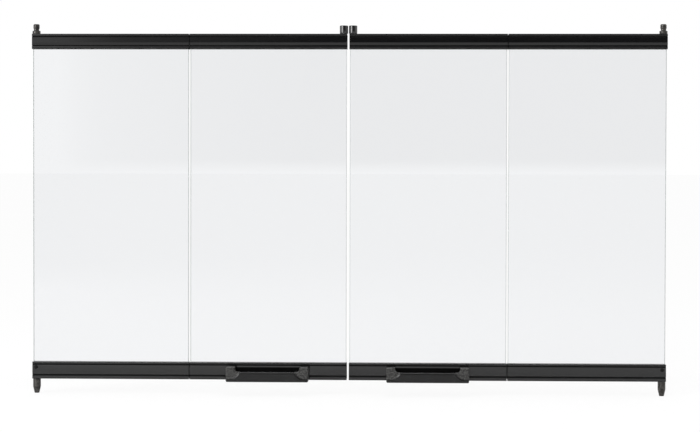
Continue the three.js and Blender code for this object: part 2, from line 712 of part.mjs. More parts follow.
/** Where the handle's sections are taken: close together where its form changes. */
function handleStations() {
  const half = HANDLE_LENGTH / 2;
  const inner = half - HANDLE_BLOCK;
  const quarter = (i, n) => Math.sin(Math.PI / 2 * i / n);
  const fillet = [0, 1, 2, 3, 4].map((i) => inner - HANDLE_FILLET * (1 - quarter(i, 5)));
  const edge = [0, 1, 2, 3].map((i) => inner + HANDLE_EDGE * (1 - Math.cos(Math.PI / 2 * i / 3)));
  const end = [0, 1, 2, 3].map((i) => half - HANDLE_EDGE * (1 - quarter(i, 3)));
  const right = [...fillet, ...edge, ...end];
  return [...right.map((x) => -x).reverse(), ...right];
}

/** A skin over sections at a row of stations along X, closed with a fan at each end. */
function loft(stations, sectionAt) {
  const sections = stations.map((x) => sectionAt(x).map(([y, z]) => new THREE.Vector3(x, y, z)));
  const count = sections[0].length;
  const vertices = sections.flat();
  const faces = [];
  for (let i = 0; i + 1 < sections.length; i += 1) {
    for (let k = 0; k < count; k += 1) {
      const next = (k + 1) % count;
      const [a, b] = [i * count + k, i * count + next];
      faces.push(a, b, b + count, a, b + count, a + count);
    }
  }
  const last = (sections.length - 1) * count;
  for (let k = 1; k + 1 < count; k += 1) {
    faces.push(0, k + 1, k, last, last + k, last + k + 1);
  }
  const geometry = new THREE.BufferGeometry().setFromPoints(vertices);
  geometry.setIndex(faces);
  return geometry;
}

const HANDLE_Z = BOTTOM_RAIL_Z - HANDLE_DROP;

/** The handle, with its mounting plane at y = 0, its middle at x = 0 and its foot at z = 0. */
function handle() {
  const screwZ = BOTTOM_HOLLOW_Z - HANDLE_Z;
  const holes = [-1, 1].map((end) =>
    bore(SCREW_HOLE, end * HANDLE_SCREW_X, screwZ, -SCREW_REACH - FIT, 1));
  return cut(loft(handleStations(), handleSection), holes);
}

/** A handle screw along -Y, with its pan head's underside at y = 0. */
function handleScrew() {
  const head = SCREW_HEAD / 2;
  const length = FIT + 2 * RAIL_HALF + SCREW_REACH;
  return turned([
    [0, -length],
    [SCREW_DIAMETER / 2, -length],
    [SCREW_DIAMETER / 2, 0],
    [head, 0],
    [head, SCREW_HEAD_HEIGHT * 0.5],
    [head * 0.75, SCREW_HEAD_HEIGHT],
    [0, SCREW_HEAD_HEIGHT],
  ], SMALL_ROUND).rotateX(-Math.PI / 2);
}

// ---------------------------------------------------------------- materials

function paint(color, roughness, metalness) {
  return new THREE.MeshStandardMaterial({ color, roughness, metalness, flatShading: true });
}

const LOOKS = {
  glass: new THREE.MeshStandardMaterial({
    color: 0xf2f5f8, roughness: 0.05, metalness: 0, transparent: true, opacity: 0.3, flatShading: true,
  }),
  rail: paint(0x111112, 0.18, 0.3),
  gasket: paint(0x2a2a28, 0.95, 0),
  bracket: paint(0x8a8c8e, 0.4, 0.9),
  pivot: paint(0x3b3936, 0.55, 0.5),
  spring: paint(0xb4b6b8, 0.3, 1),
  roller: paint(0x17171a, 0.2, 0),
  axle: paint(0x6c6c6c, 0.35, 0.9),
  hinge: paint(0x4c4c4d, 0.45, 0.7),
  rivet: paint(0x1c1c1c, 0.4, 0.5),
  handle: paint(0x1b1b1b, 0.5, 0.4),
};

// ---------------------------------------------------------------- the door

const door = new THREE.Group();

/** Adds a piece to the right pair, as drawn, and its mirror image to the left pair. */
function addPair(name, look, geometry, x, y, z) {
  for (const [side, form] of [['right', geometry], ['left', mirrored(geometry)]]) {
    const mesh = new THREE.Mesh(form, LOOKS[look]);
    mesh.name = `${side}_${name}`;
    mesh.position.set(side === 'right' ? x : -x, y, z);
    door.add(mesh);
  }
}

// Panes, rails and gaskets of the outer and inner panels
const gasketHalf = PANEL_WIDTH / 2 - GLASS_INSET;
const gasketStop = BRACKET_X - BRACKET_INBOARD - GASKET_STOP;
const glassTop = GLASS_Z + GLASS_HEIGHT;

addPair('outer_glass', 'glass', glassPane(), OUTER_CENTRE, 0, GLASS_Z);
addPair('inner_glass', 'glass', glassPane(), INNER_CENTRE, 0, GLASS_Z);
addPair('outer_top_rail', 'rail', topRail(BRACKET_X, PIVOT_HOLE), OUTER_CENTRE, 0, TOP_RAIL_Z);
addPair('inner_top_rail', 'rail', topRail(-ROLLER_HOLE_X, AXLE_HOLE), INNER_CENTRE, 0, TOP_RAIL_Z);
addPair('outer_bottom_rail', 'rail', bottomOuterRail(), OUTER_CENTRE, 0, BOTTOM_RAIL_Z);
addPair('inner_bottom_rail', 'rail', bottomInnerRail(), INNER_CENTRE, 0, BOTTOM_RAIL_Z);
addPair('outer_top_gasket', 'gasket', gasket(-gasketHalf, gasketStop, -1), OUTER_CENTRE, 0, glassTop);
addPair('inner_top_gasket', 'gasket', gasket(-gasketStop, gasketHalf, -1), INNER_CENTRE, 0, glassTop);
addPair('outer_bottom_gasket', 'gasket', gasket(-gasketHalf, gasketStop, 1), OUTER_CENTRE, 0, GLASS_Z);
addPair('inner_bottom_gasket', 'gasket', gasket(-gasketHalf, gasketHalf, 1), INNER_CENTRE, 0, GLASS_Z);

// Pivots of the outer panels
addPair('top_pivot_bracket', 'bracket', topBracket(PIVOT_HOLE), PIVOT_X, 0, TOP_CEILING_Z - FIT);
addPair('bottom_pivot_bracket', 'bracket', bracket(PIN_HOLE), PIVOT_X, 0, BOTTOM_FLOOR_Z + FIT);
addPair('top_pivot_plunger', 'pivot', plunger(), PIVOT_X, 0, PLUNGER_TIP_Z);
addPair('top_pivot_spring', 'spring', spring(), PIVOT_X, 0, SEAT_Z + FIT);
addPair('top_pivot_collar', 'pivot', collar(), PIVOT_X, 0, TOP_RAIL_TOP + FIT);
addPair('bottom_pivot_pin', 'pivot', pivotPin(), PIVOT_X, 0, 0);

// Guide rollers of the inner panels, whose brackets face the centre
addPair('roller_bracket', 'bracket', rollerBracket(), ROLLER_X, 0, TOP_CEILING_Z - FIT);
addPair('guide_roller', 'roller', roller(), ROLLER_X, 0, TOP_RAIL_TOP + FIT);
addPair('roller_axle', 'axle', rollerAxle(), ROLLER_X, 0, AXLE_TOP_Z);

// Hinges: the outer leaf has the end knuckles, the inner leaf the middle one
const hinges = [
  ['top', TOP_HINGE_Z, TOP_HINGE_HEIGHT, TOP_HOLLOW_Z],
  ['bottom', BOTTOM_HINGE_Z, BOTTOM_HINGE_HEIGHT, BOTTOM_HOLLOW_Z],
];
for (const [place, z, height, rivetZ] of hinges) {
  const outer = hingeLeaf(1, height, [0, 2], rivetZ - z);
  const inner = hingeLeaf(-1, height, [1], rivetZ - z);
  addPair(`${place}_hinge_outer_leaf`, 'hinge', outer, HINGE_X, HINGE_Y, z);
  addPair(`${place}_hinge_inner_leaf`, 'hinge', inner, HINGE_X, HINGE_Y, z);
  addPair(`${place}_hinge_pin`, 'hinge', hingePin(height), HINGE_X, HINGE_Y, z);
}

// Handles and their screws
addPair('handle', 'handle', handle(), INNER_CENTRE, -RAIL_HALF, HANDLE_Z);
for (const [place, end] of [['hinge_side', 1], ['centre_side', -1]]) {
  const x = INNER_CENTRE + end * HANDLE_SCREW_X;
  addPair(`handle_screw_${place}`, 'rivet', handleScrew(), x, RAIL_HALF + FIT, BOTTOM_HOLLOW_Z);
}

// Rivets of the pivot brackets: behind the top rails, in front of the bottom rails
addPair('top_bracket_rivet', 'rivet', tabRivet(1, FIT), PIVOT_X, RAIL_HALF, TOP_TAB_RIVET_Z);
addPair('bottom_bracket_rivet', 'rivet', tabRivet(-1, FIT), PIVOT_X, -RAIL_HALF, BOTTOM_TAB_RIVET_Z);

export default door;
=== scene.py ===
import json
import math

import bmesh
import bpy
import numpy as np
from mathutils import Matrix, Vector

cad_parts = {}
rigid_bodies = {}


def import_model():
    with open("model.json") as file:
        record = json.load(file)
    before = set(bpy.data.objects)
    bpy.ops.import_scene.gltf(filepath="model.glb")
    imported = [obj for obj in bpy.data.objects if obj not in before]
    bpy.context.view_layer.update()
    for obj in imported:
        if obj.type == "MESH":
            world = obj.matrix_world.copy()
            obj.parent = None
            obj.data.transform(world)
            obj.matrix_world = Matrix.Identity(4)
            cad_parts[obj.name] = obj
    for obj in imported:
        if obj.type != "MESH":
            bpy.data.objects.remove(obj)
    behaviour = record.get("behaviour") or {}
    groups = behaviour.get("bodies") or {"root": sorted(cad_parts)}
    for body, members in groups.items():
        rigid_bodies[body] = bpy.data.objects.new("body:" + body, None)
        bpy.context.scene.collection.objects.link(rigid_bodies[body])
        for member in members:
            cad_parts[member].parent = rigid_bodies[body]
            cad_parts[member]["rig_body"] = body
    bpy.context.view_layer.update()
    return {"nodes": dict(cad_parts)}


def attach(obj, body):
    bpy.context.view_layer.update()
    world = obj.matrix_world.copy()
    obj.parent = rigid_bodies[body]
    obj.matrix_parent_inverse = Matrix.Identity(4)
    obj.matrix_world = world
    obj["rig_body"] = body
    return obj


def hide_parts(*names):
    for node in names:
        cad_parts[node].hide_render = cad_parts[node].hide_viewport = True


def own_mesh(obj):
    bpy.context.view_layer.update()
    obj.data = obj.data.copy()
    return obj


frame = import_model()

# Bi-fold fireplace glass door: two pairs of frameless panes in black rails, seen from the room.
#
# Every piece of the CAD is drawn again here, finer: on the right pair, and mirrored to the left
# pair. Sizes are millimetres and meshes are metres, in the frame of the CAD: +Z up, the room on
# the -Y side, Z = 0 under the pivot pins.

MM = 0.001

# ---------------------------------------------------------------- sizes, in millimetres

FIT = 0.3                      # gap between pieces that seat on each other

PANEL_WIDTH = 226.25
OUTER_CENTRE = 341.875         # middle of the right outer panel
INNER_CENTRE = 114.625
HINGE_X = 228.25
HINGE_Y = 11.0
PIVOT_X = 449.6
ROLLER_X = 6.6

# Rails
RAIL_HALF = 8.0
RAIL_INSIDE = 6.2
RAIL_WALL = 1.8
LIP_INNER = 3.6
LIP_HEIGHT = 1.4
GROOVE_DEPTH = 1.5
FACE_DROP = 0.3
LIP_DROP = 0.8                 # of the dull lip along the top rails' mouth
TOP_RAIL = dict(foot=495.6, height=22.0, lip=1.6, mouth=4.3, mouth_rounds=(0.3, 0.5), lower=1.4,
                upper=2.2, closed=3.0, closed_rounds=(0.4, 1.3), crown=0.25)
BOTTOM_RAIL = dict(foot=21.0, height=24.6, lip=0.0, mouth=2.6, mouth_rounds=(1.4, 0.4), lower=1.9,
                   upper=2.4, closed=4.4, closed_rounds=(0.4, 1.0), crown=0.1)
RAIL_TOP = 517.6
CEILING = 515.8                # inside of the top rails' closed wall
FLOOR = 22.8                   # inside of the bottom rails' closed wall

# Panes and gaskets
GLASS_HALF = 2.5
GLASS_WIDTH = 224.65
GLASS_FOOT = 36.6
GLASS_TOP = 504.6
GASKET_WALL = 3.1
GASKET_DEPTH = 7.3             # gasket beside the glass
GASKET_END = 112.325           # from the panel's middle, at a plain end
GASKET_STOP = 96.225           # at a bracket

# Brackets
SHEET = 1.5
BRACKET_HEIGHT = 10.6
BRACKET_HALF = 5.9
BRACKET_INBOARD = 10.0
BRACKET_OUTBOARD = 4.3
BRACKET_BEND = 1.7             # to the middle of the sheet
TAB_LENGTH = 7.4
TAB_RIVET = 4.2

# Holes and rivets
PIVOT_HOLE = 9.6
AXLE_HOLE = 5.6
RIVET_HOLE = 3.8
SCREW_HOLE = 4.6
PAST = 1.0                     # a hole's cutter runs this far past the wall
SHEET_CUT = SHEET + PAST
RIVET_GRIP = RAIL_WALL + FIT + SHEET
FUSED = -0.02                  # gap under a rivet's end that is one with the piece it is in

# Pivots, springs and rollers
PLUNGER_TIP = 531.6
PIN_LENGTH = 21.0
SEAT = 506.4                   # the plunger spring stands here
BORE_TOP = 527.6
SPRING_LENGTH = BORE_TOP - SEAT - 2 * FIT
ROLLER_FOOT = 517.9
AXLE_TOP = 528.7

# Hinges: foot, height and the height of the rivets
HINGES = {"top": (497.1, 19.0, 511.9), "bottom": (23.3, 20.0, 28.0)}
HINGE_LEAF = 1.2
KNUCKLE = 2.7
HINGE_PIN = 1.3
HINGE_RIVETS = (9.0, 20.0)

# Handles
HANDLE_FOOT = 19.8
HANDLE_LENGTH = 118.0
HANDLE_HEIGHT = 21.0
HANDLE_PROJECTION = 26.0
HANDLE_BLOCK = 12.5
HANDLE_FILLET = 4.0
HANDLE_EDGE = 2.0
PAD_STEP = 2.0                 # the rough pads lie behind the smooth front
PAD_CENTRE = (5.5, 20.0)       # of the pad's round edge, from the handle's end and foot
PAD_RADIUS = 15.5
GRIP_HEIGHT = 14.4
GRIP_RISE = 0.5                # the bar's top climbs this much towards the rail
GRIP_DEPTH = 10.0
SHADE_WEB = (0.8, 1.0, 19.2)         # a guessed web behind the bar, near-black and dull so that it paints the shade above the bar: its thickness, foot and top
SCREW_CENTRES = 101.6
SCREW_HEIGHT = 28.0
SCREW_REACH = 12.0
CROSS = [(0.45, 0.45), (0.45, 2.3), (-0.45, 2.3), (-0.45, 0.45), (-2.3, 0.45), (-2.3, -0.45), (-0.45, -0.45),
         (-0.45, -2.3), (0.45, -2.3), (0.45, -0.45), (2.3, -0.45), (2.3, 0.45)]   # in a screw's head

# The camera, in metres and degrees
CAMERA_AT = (0.0953, -3.0, 0.3247)
CAMERA_AIM = (0.002615, 0, 0.25664)
CAMERA_ROLL = 0.1207
CAMERA_LENS = 107.484          # millimetres, for an image 36 mm wide

# ---------------------------------------------------------------- making meshes


def quads(rows, columns, wrap_rows=False, wrap_columns=False):
    """Corner numbers of the faces of a grid of points, row after row, open or joined end to end."""
    i, j = np.meshgrid(np.arange(rows - (not wrap_rows)), np.arange(columns - (not wrap_columns)),
                       indexing="ij")
    here, next_row = i * columns, (i + 1) % rows * columns
    next_j = (j + 1) % columns
    return np.stack([here + j, here + next_j, next_row + next_j, next_row + j], -1).reshape(-1, 4)


def volume(points, faces):
    """Signed volume of a closed surface: each face fanned from its first corner, as tetrahedra
    from the origin. It is positive where the faces point out."""
    total = 0.0
    for corners in sorted({len(face) for face in faces}):
        f = np.array([face for face in faces if len(face) == corners])
        a, b, c = points[f[:, :1]], points[f[:, 1:-1]], points[f[:, 2:]]
        total += np.sum(np.cross(np.broadcast_to(a, b.shape), b) * c) / 6
    return total


def shell(points, faces):
    """A closed surface in millimetres, its faces turned to point out."""
    points = np.asarray(points, float).reshape(-1, 3)
    faces = [list(face) for face in faces]
    centred = points - points.mean(0)
    return points, faces if volume(centred, faces) > 0 else [face[::-1] for face in faces]


def together(shells):
    """Several closed surfaces as one set of points and faces."""
    starts = np.cumsum([0] + [len(points) for points, _ in shells])
    faces = [[corner + start for corner in face] for (_, part), start in zip(shells, starts) for face in part]
    return np.concatenate([points for points, _ in shells]), faces


def moved(made, x=0.0, y=0.0, z=0.0):
    """The same surface, shifted."""
    return made[0] + np.array([x, y, z]), made[1]


def mirrored(made, axis=0):
    """The mirror image in the plane through the origin, with its faces turned round again."""
    flip = np.ones(3)
    flip[axis] = -1
    return made[0] * flip, [face[::-1] for face in made[1]]


def turned_over(made):
    """Half a turn about the X axis."""
    return made[0] * np.array([1, -1, -1]), made[1]


def rounded(corners, radius, steps=5, closed=True):
    """An outline with its corners rounded. Each corner gives way to a circular arc of its radius,
    or of what the shorter neighbouring side has room for, between the two tangent points. An arc
    point at share t is the centre plus (sin((1-t)a) v1 + sin(ta) v2) / sin(a), where v1 and v2
    run from the centre to the tangent points and a is the angle between them."""
    p = np.asarray(corners, float)
    before, after = np.roll(p, 1, 0) - p, np.roll(p, -1, 0) - p
    len_b = np.linalg.norm(before, axis=1, keepdims=True)
    len_a = np.linalg.norm(after, axis=1, keepdims=True)
    before, after = before / len_b, after / len_a
    half = np.arccos(np.clip(np.sum(before * after, 1, keepdims=True), -1, 1)) / 2
    reach = np.broadcast_to(np.reshape(radius, (-1, 1)), half.shape) / np.tan(half)
    reach = np.minimum(reach, 0.49 * np.minimum(len_b, len_a))
    middle = before + after
    middle = middle / np.maximum(np.linalg.norm(middle, axis=1, keepdims=True), 1e-12)
    centre = p + middle * reach / np.cos(half)
    v1, v2 = p + before * reach - centre, p + after * reach - centre
    sweep = np.maximum(np.pi - 2 * half, 1e-6)[:, None]
    t = np.linspace(0, 1, steps)[None, :, None]
    arcs = centre[:, None] + (np.sin((1 - t) * sweep) * v1[:, None]
                              + np.sin(t * sweep) * v2[:, None]) / np.sin(sweep)
    if closed:
        return arcs.reshape(-1, 2)
    return np.concatenate([p[:1], arcs[1:-1].reshape(-1, 2), p[-1:]])


def unlike(outline):
    """The outline without points that repeat the one before."""
    step = np.linalg.norm(outline - np.roll(outline, 1, 0), axis=1)
    return outline[step > 1e-6]


def outward(outline):
    """Unit normals of a closed outline, away from its inside."""
    along = np.roll(outline, -1, 0) - np.roll(outline, 1, 0)
    along = along / np.linalg.norm(along, axis=1, keepdims=True)
    x, y = outline.T
    turn = 1 if np.sum(x * np.roll(y, -1) - np.roll(x, -1) * y) > 0 else -1
    return np.stack([along[:, 1], -along[:, 0]], 1) * turn


def ribbon(path, thickness):
    """Outline of a sheet of even thickness along a path: the path moved half the thickness to
    each side, there and back."""
    along = np.gradient(path, axis=0)
    along = along / np.linalg.norm(along, axis=1, keepdims=True)
    side = np.stack([-along[:, 1], along[:, 0]], 1) * thickness / 2
    return np.concatenate([path + side, (path - side)[::-1]])


AXES = {"x": (1, 2, 0), "y": (0, 2, 1), "z": (0, 1, 2)}


def drawn(outline, axis, start, end, ease=0.12, steps=1):
    """An outline carried straight along an axis, from start to end, with softened end edges. Over
    the ease at each end the outline is drawn in along its normals by ease (1 - sin a), at a
    distance ease (1 - cos a) from the end, for a from 0 to a right angle: a chamfer with one step,
    and rounder with more."""
    outline = unlike(np.asarray(outline, float))
    u, v, w = AXES[axis]
    a = np.linspace(0, np.pi / 2, steps + 1)
    shrink = ease * (1 - np.sin(a))
    lead = ease * (1 - np.cos(a))
    stations = np.concatenate([start + lead, end - lead[::-1]])
    shrink = np.concatenate([shrink, shrink[::-1]])
    n, m = len(outline), len(stations)
    grid = np.zeros((m, n, 3))
    flat = outline[None] - outward(outline)[None] * shrink[:, None, None]
    grid[..., u], grid[..., v], grid[..., w] = flat[..., 0], flat[..., 1], stations[:, None]
    caps = [list(range(n)), list(range(m * n - 1, (m - 1) * n - 1, -1))]
    return shell(grid, quads(m, n, wrap_columns=True)[:, ::-1].tolist() + caps)


def turned(profile, segments=64):
    """A (radius, height) profile turned about the Z axis: x = r cos(a), y = r sin(a). It starts and
    ends on the axis, where the surface is closed by a fan."""
    profile = np.asarray(profile, float)
    r, z = profile[1:-1, 0], profile[1:-1, 1]
    a = np.arange(segments) * 2 * np.pi / segments
    grid = np.stack([np.outer(r, np.cos(a)), np.outer(r, np.sin(a)), np.repeat(z[:, None], segments, 1)], -1)
    points = np.concatenate([grid.reshape(-1, 3), [[0, 0, profile[0, 1]], [0, 0, profile[-1, 1]]]])
    foot, top = len(points) - 2, len(points) - 1
    k = np.arange(segments)
    last = (len(r) - 1) * segments
    fans = [np.stack([np.full(segments, foot), (k + 1) % segments, k], 1),
            np.stack([np.full(segments, top), last + k, last + (k + 1) % segments], 1)]
    return shell(points, quads(len(r), segments, wrap_columns=True).tolist() + np.concatenate(fans).tolist())


def ring(profile, segments=64):
    """A closed (radius, height) profile turned about the Z axis, clear of the axis."""
    profile = unlike(np.asarray(profile, float))
    a = np.arange(segments) * 2 * np.pi / segments
    r, z = profile.T
    grid = np.stack([np.outer(r, np.cos(a)), np.outer(r, np.sin(a)), np.repeat(z[:, None], segments, 1)], -1)
    return shell(grid, quads(len(r), segments, True, True).tolist())


def laid_along_y(made):
    """A piece turned about Z, laid down so that its +Z end points to +Y."""
    return made[0][:, [0, 2, 1]] * np.array([-1, 1, 1]), made[1]


def crowned(corners, radius, steps=4):
    """A (radius, height) profile that starts and ends on the axis, with its other corners rounded."""
    return rounded(corners, radius, steps, closed=False)

# ---------------------------------------------------------------- making pieces


def mesh_of(name, made):
    """A Blender mesh, in metres, from points in millimetres and faces."""
    points, faces = made
    mesh = bpy.data.meshes.new(name)
    mesh.from_pydata((points * MM).tolist(), [], faces)
    return mesh


def smooth(mesh, angle):
    """Smooth shading, with an edge left sharp where its faces meet at more than the angle."""
    mesh.polygons.foreach_set("use_smooth", np.ones(len(mesh.polygons), bool))
    mesh.set_sharp_from_angle(angle=math.radians(angle))
    mesh.update()


def bored(mesh, cutters):
    """The mesh less closed cutters: an exact Boolean, applied. The mesh's own surfaces may
    overlap, but the cutters may not overlap each other."""
    piece = bpy.data.objects.new("being_bored", mesh)
    tool = bpy.data.objects.new("cutter", mesh_of("cutter", together(cutters)))
    for obj in (piece, tool):
        bpy.context.scene.collection.objects.link(obj)
    cut = piece.modifiers.new("holes", "BOOLEAN")
    cut.operation, cut.solver, cut.object = "DIFFERENCE", "EXACT", tool
    cut.use_self = True
    bpy.context.view_layer.update()
    done = bpy.data.meshes.new_from_object(piece.evaluated_get(bpy.context.evaluated_depsgraph_get()))
    for obj in (piece, tool):
        bpy.data.objects.remove(obj)
    return done


def place(name, mesh, node, finish):
    """A piece with its finish, in the place and on the body of a CAD node, which it stands for."""
    piece = bpy.data.objects.new(name, mesh)
    bpy.context.scene.collection.objects.link(piece)
    mesh.materials.clear()
    mesh.materials.append(finish)
    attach(piece, frame["nodes"][node]["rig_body"])
    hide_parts(node)
    return piece


def joined(mesh, shells):
    """The mesh with further closed surfaces beside its own."""
    both = bmesh.new()
    both.from_mesh(mesh)
    both.from_mesh(mesh_of("further", together(shells)))
    both.to_mesh(mesh)
    both.free()
    return mesh


def pair(node, made, finish, angle=32, cutters=(), also=()):
    """A piece for a node of the right pair, and its mirror image for the left pair."""
    right = mesh_of(f"right_{node}_form", made)
    if cutters:
        right = bored(right, cutters)
    if also:
        right = joined(right, also)
    left = right.copy()
    left.transform(Matrix.Diagonal((-1, 1, 1, 1)))
    left.flip_normals()
    pieces = []
    for side, mesh in (("right", right), ("left", left)):
        mesh.name = f"{side}_{node}_form"
        smooth(mesh, angle)
        pieces.append(place(f"{side}_{node}_fine", mesh, f"{side}_{node}", finish))
    return pieces


# ---------------------------------------------------------------- forms


def band(foot, head, lower, upper):
    """A flat band of a rail's front, from foot to head, that turns in at both edges by a quarter
    circle: (y, z) = centre + r (cos a, sin a)."""
    a = np.linspace(np.pi / 2, 0, 9)
    first = np.stack([lower - lower * np.cos(a), lower - lower * np.sin(a)], 1) + [-RAIL_HALF, foot]
    second = np.stack([upper - upper * np.cos(a), upper * np.sin(a) - upper], 1) + [-RAIL_HALF, head]
    return np.concatenate([first, second[::-1]])


def arch(foot, width, crown, steps=15):
    """The face between the grooves: a parabola, highest at its middle."""
    t = np.linspace(-1, 1, steps)
    return np.stack([-(RAIL_HALF - FACE_DROP + crown * (1 - t * t)), foot + width * (t + 1) / 2], 1)


def rail_outline(rail):
    """A rail's (y, z) section with its mouth at z = 0: the lip, a band, a V groove, the face, a V
    groove and a band up the front, then round the closed wall and down the back to the lips and
    the inside of the channel."""
    height, lip, mouth, closed = rail["height"], rail["lip"], rail["mouth"], rail["closed"]
    foot, head = mouth + rail["lower"], height - closed - rail["upper"]
    deep = GROOVE_DEPTH - RAIL_HALF
    back_lip = LIP_DROP - RAIL_HALF
    front = [[[back_lip + 0.3, 0], [back_lip, 0.3]]] if lip else []
    front += [band(lip, mouth, *rail["mouth_rounds"]), [[deep, (mouth + foot) / 2]],
              arch(foot, head - foot, rail["crown"]), [[deep, (head + height - closed) / 2]],
              band(height - closed, height, *rail["closed_rounds"])]
    corners = [[RAIL_HALF, height], [RAIL_HALF, 0], [LIP_INNER, 0], [LIP_INNER, LIP_HEIGHT],
               [RAIL_INSIDE, LIP_HEIGHT], [RAIL_INSIDE, height - RAIL_WALL],
               [-RAIL_INSIDE, height - RAIL_WALL], [-RAIL_INSIDE, LIP_HEIGHT],
               [-LIP_INNER, LIP_HEIGHT], [-LIP_INNER, 0]]
    radii = [0.9, 0.9, 0.25, 0.25, 0.3, 0.5, 0.5, 0.3, 0.25, 0.25]
    start, end = front[0][:1], front[-1][-1:]
    back = rounded(np.concatenate([end, corners, start]), np.array([0, *radii, 0]), 6, closed=False)
    return np.concatenate(front + [back[1:-1]])


def shaded_grooves_and_dull_lip(mesh, rail, mouth_up=False):
    """Which faces of a rail take the dull black: those of its two V grooves, where it is painted shade, and
    of its lip, where it is partly painted shade. Their middles lie at these heights above the mouth, and in
    front of the channel's hollow."""
    middle = np.empty(len(mesh.polygons) * 3)
    mesh.polygons.foreach_get("center", middle)
    middle = middle.reshape(-1, 3) / MM
    up = middle[:, 2] - rail["foot"]
    up = rail["height"] - up if mouth_up else up
    foot, head = rail["mouth"] + rail["lower"], rail["height"] - rail["closed"] - rail["upper"]
    strips = [(-1, rail["lip"]), (rail["mouth"], foot), (head, rail["height"] - rail["closed"])]
    inside = np.any([(up > low) & (up < high) for low, high in strips], 0)
    return inside & (middle[:, 1] < -RAIL_INSIDE - 0.1)


def pane_form(centre):
    """A pane with small round corners and a ground edge: its outline carried through the
    thickness, drawn in over the last 0.6 mm as a quarter round. Its front and back, the clear
    ones, are its last two faces."""
    half = GLASS_WIDTH / 2
    outline = rounded([[-half, GLASS_FOOT], [half, GLASS_FOOT], [half, GLASS_TOP], [-half, GLASS_TOP]],
                      1.2, 6)
    return moved(drawn(outline, "y", -GLASS_HALF, GLASS_HALF, 0.6, 4), centre)


def hole(diameter, x, y, z0, z1, segments=48):
    """A cutter for an upright hole: a closed cylinder."""
    return moved(turned([[0, z0], [diameter / 2, z0], [diameter / 2, z1], [0, z1]], segments), x, y)


def cross_hole(diameter, x, z, y0, y1, segments=32):
    """A cutter for a hole along Y."""
    made = laid_along_y(turned([[0, y0], [diameter / 2, y0], [diameter / 2, y1], [0, y1]], segments))
    return moved(made, x, 0, z)


def rail_form(rail, centre, mouth_up=False):
    """A rail drawn along X, with its mouth down, or up for a bottom rail."""
    outline = rail_outline(rail)
    if mouth_up:
        outline = outline * np.array([1, -1]) + np.array([0, rail["height"]])
    return moved(drawn(outline, "x", -PANEL_WIDTH / 2, PANEL_WIDTH / 2), centre, 0, rail["foot"])


def gasket_form(start, end, foot, side):
    """A channel gasket round a glass edge, its legs up along the glass for side 1 and down for
    side -1: a ribbon along a U with rounded corners, with rounded lips."""
    middle = GLASS_HALF + FIT + GASKET_WALL / 2
    path = rounded([[-middle, GASKET_DEPTH], [-middle, -FIT - GASKET_WALL / 2],
                    [middle, -FIT - GASKET_WALL / 2], [middle, GASKET_DEPTH]], 1.56, 9, closed=False)
    outline = ribbon(path, GASKET_WALL)
    corners = np.zeros(len(outline))
    corners[[0, len(path) - 1, len(path), -1]] = 0.9
    outline = unlike(rounded(outline, corners, 5))
    return moved(drawn(outline * np.array([1, side]), "x", start, end, 0.4), 0, 0, foot)


def bracket_form(tab_y):
    """A folded bracket with its holed leg at z = 0 and its axis at the origin: a ribbon bent twice,
    drawn along Y, and a tab folded up from its seat leg on the -Y side. The tab is a second
    ribbon, drawn along X, whose foot lies inside the seat leg."""
    fold, half = -BRACKET_INBOARD, SHEET / 2
    top = BRACKET_HEIGHT - half
    path = rounded([[BRACKET_OUTBOARD, half], [fold + half, half], [fold + half, top],
                    [BRACKET_OUTBOARD, top]], BRACKET_BEND, 9, closed=False)
    legs = drawn(ribbon(path, SHEET), "y", -BRACKET_HALF, BRACKET_HALF, 0.15)
    wall = tab_y * (BRACKET_HALF - half)
    path = rounded([[0, top], [wall, top], [wall, BRACKET_HEIGHT + TAB_LENGTH]], BRACKET_BEND, 9,
                   closed=False)
    tab = drawn(ribbon(path, SHEET - 0.04), "x", fold + 2.2, BRACKET_OUTBOARD - 0.01, 0.15)
    return together([legs, tab])


def plunger_form():
    """The spring plunger with its tip at z = 0: a bored pin with a stop flange, a neck and a
    chamfered head."""
    outline = np.array([
        [0, -4.0], [3.1, -4.0], [3.1, -19.1], [5.3, -19.1], [5.3, -17.9], [4.5, -17.9], [4.5, -9.4],
        [3.9, -9.0], [3.9, -6.6], [4.5, -6.2], [4.5, -1.2], [3.5, 0], [0, 0]])
    radii = np.array([0, 0.2, 0.2, 0.2, 0.2, 0.1, 0.15, 0.2, 0.2, 0.15, 0.3, 0.35, 0])
    return turned(crowned(outline, radii))


def collar_form():
    """The guide collar round a plunger, with its outer edge rounded and its foot eased."""
    return ring(rounded([[4.8, 0], [5.8, 0], [5.8, 4.0], [4.8, 4.0]], np.array([0.1, 0.15, 0.55, 0.2]), 6))


def pin_form():
    """A bottom pivot pin with its tip at z = 0: a cone that runs into a round body, and a shank."""
    outline = np.array([
        [0, 0], [3.4, 0], [5.6, 9.5], [5.6, 20.7], [4.5, 20.7], [4.5, 31.9], [0, 31.9]])
    return turned(crowned(outline, np.array([0, 0.6, 1.6, 0.35, 0.1, 0.6, 0]), 7))


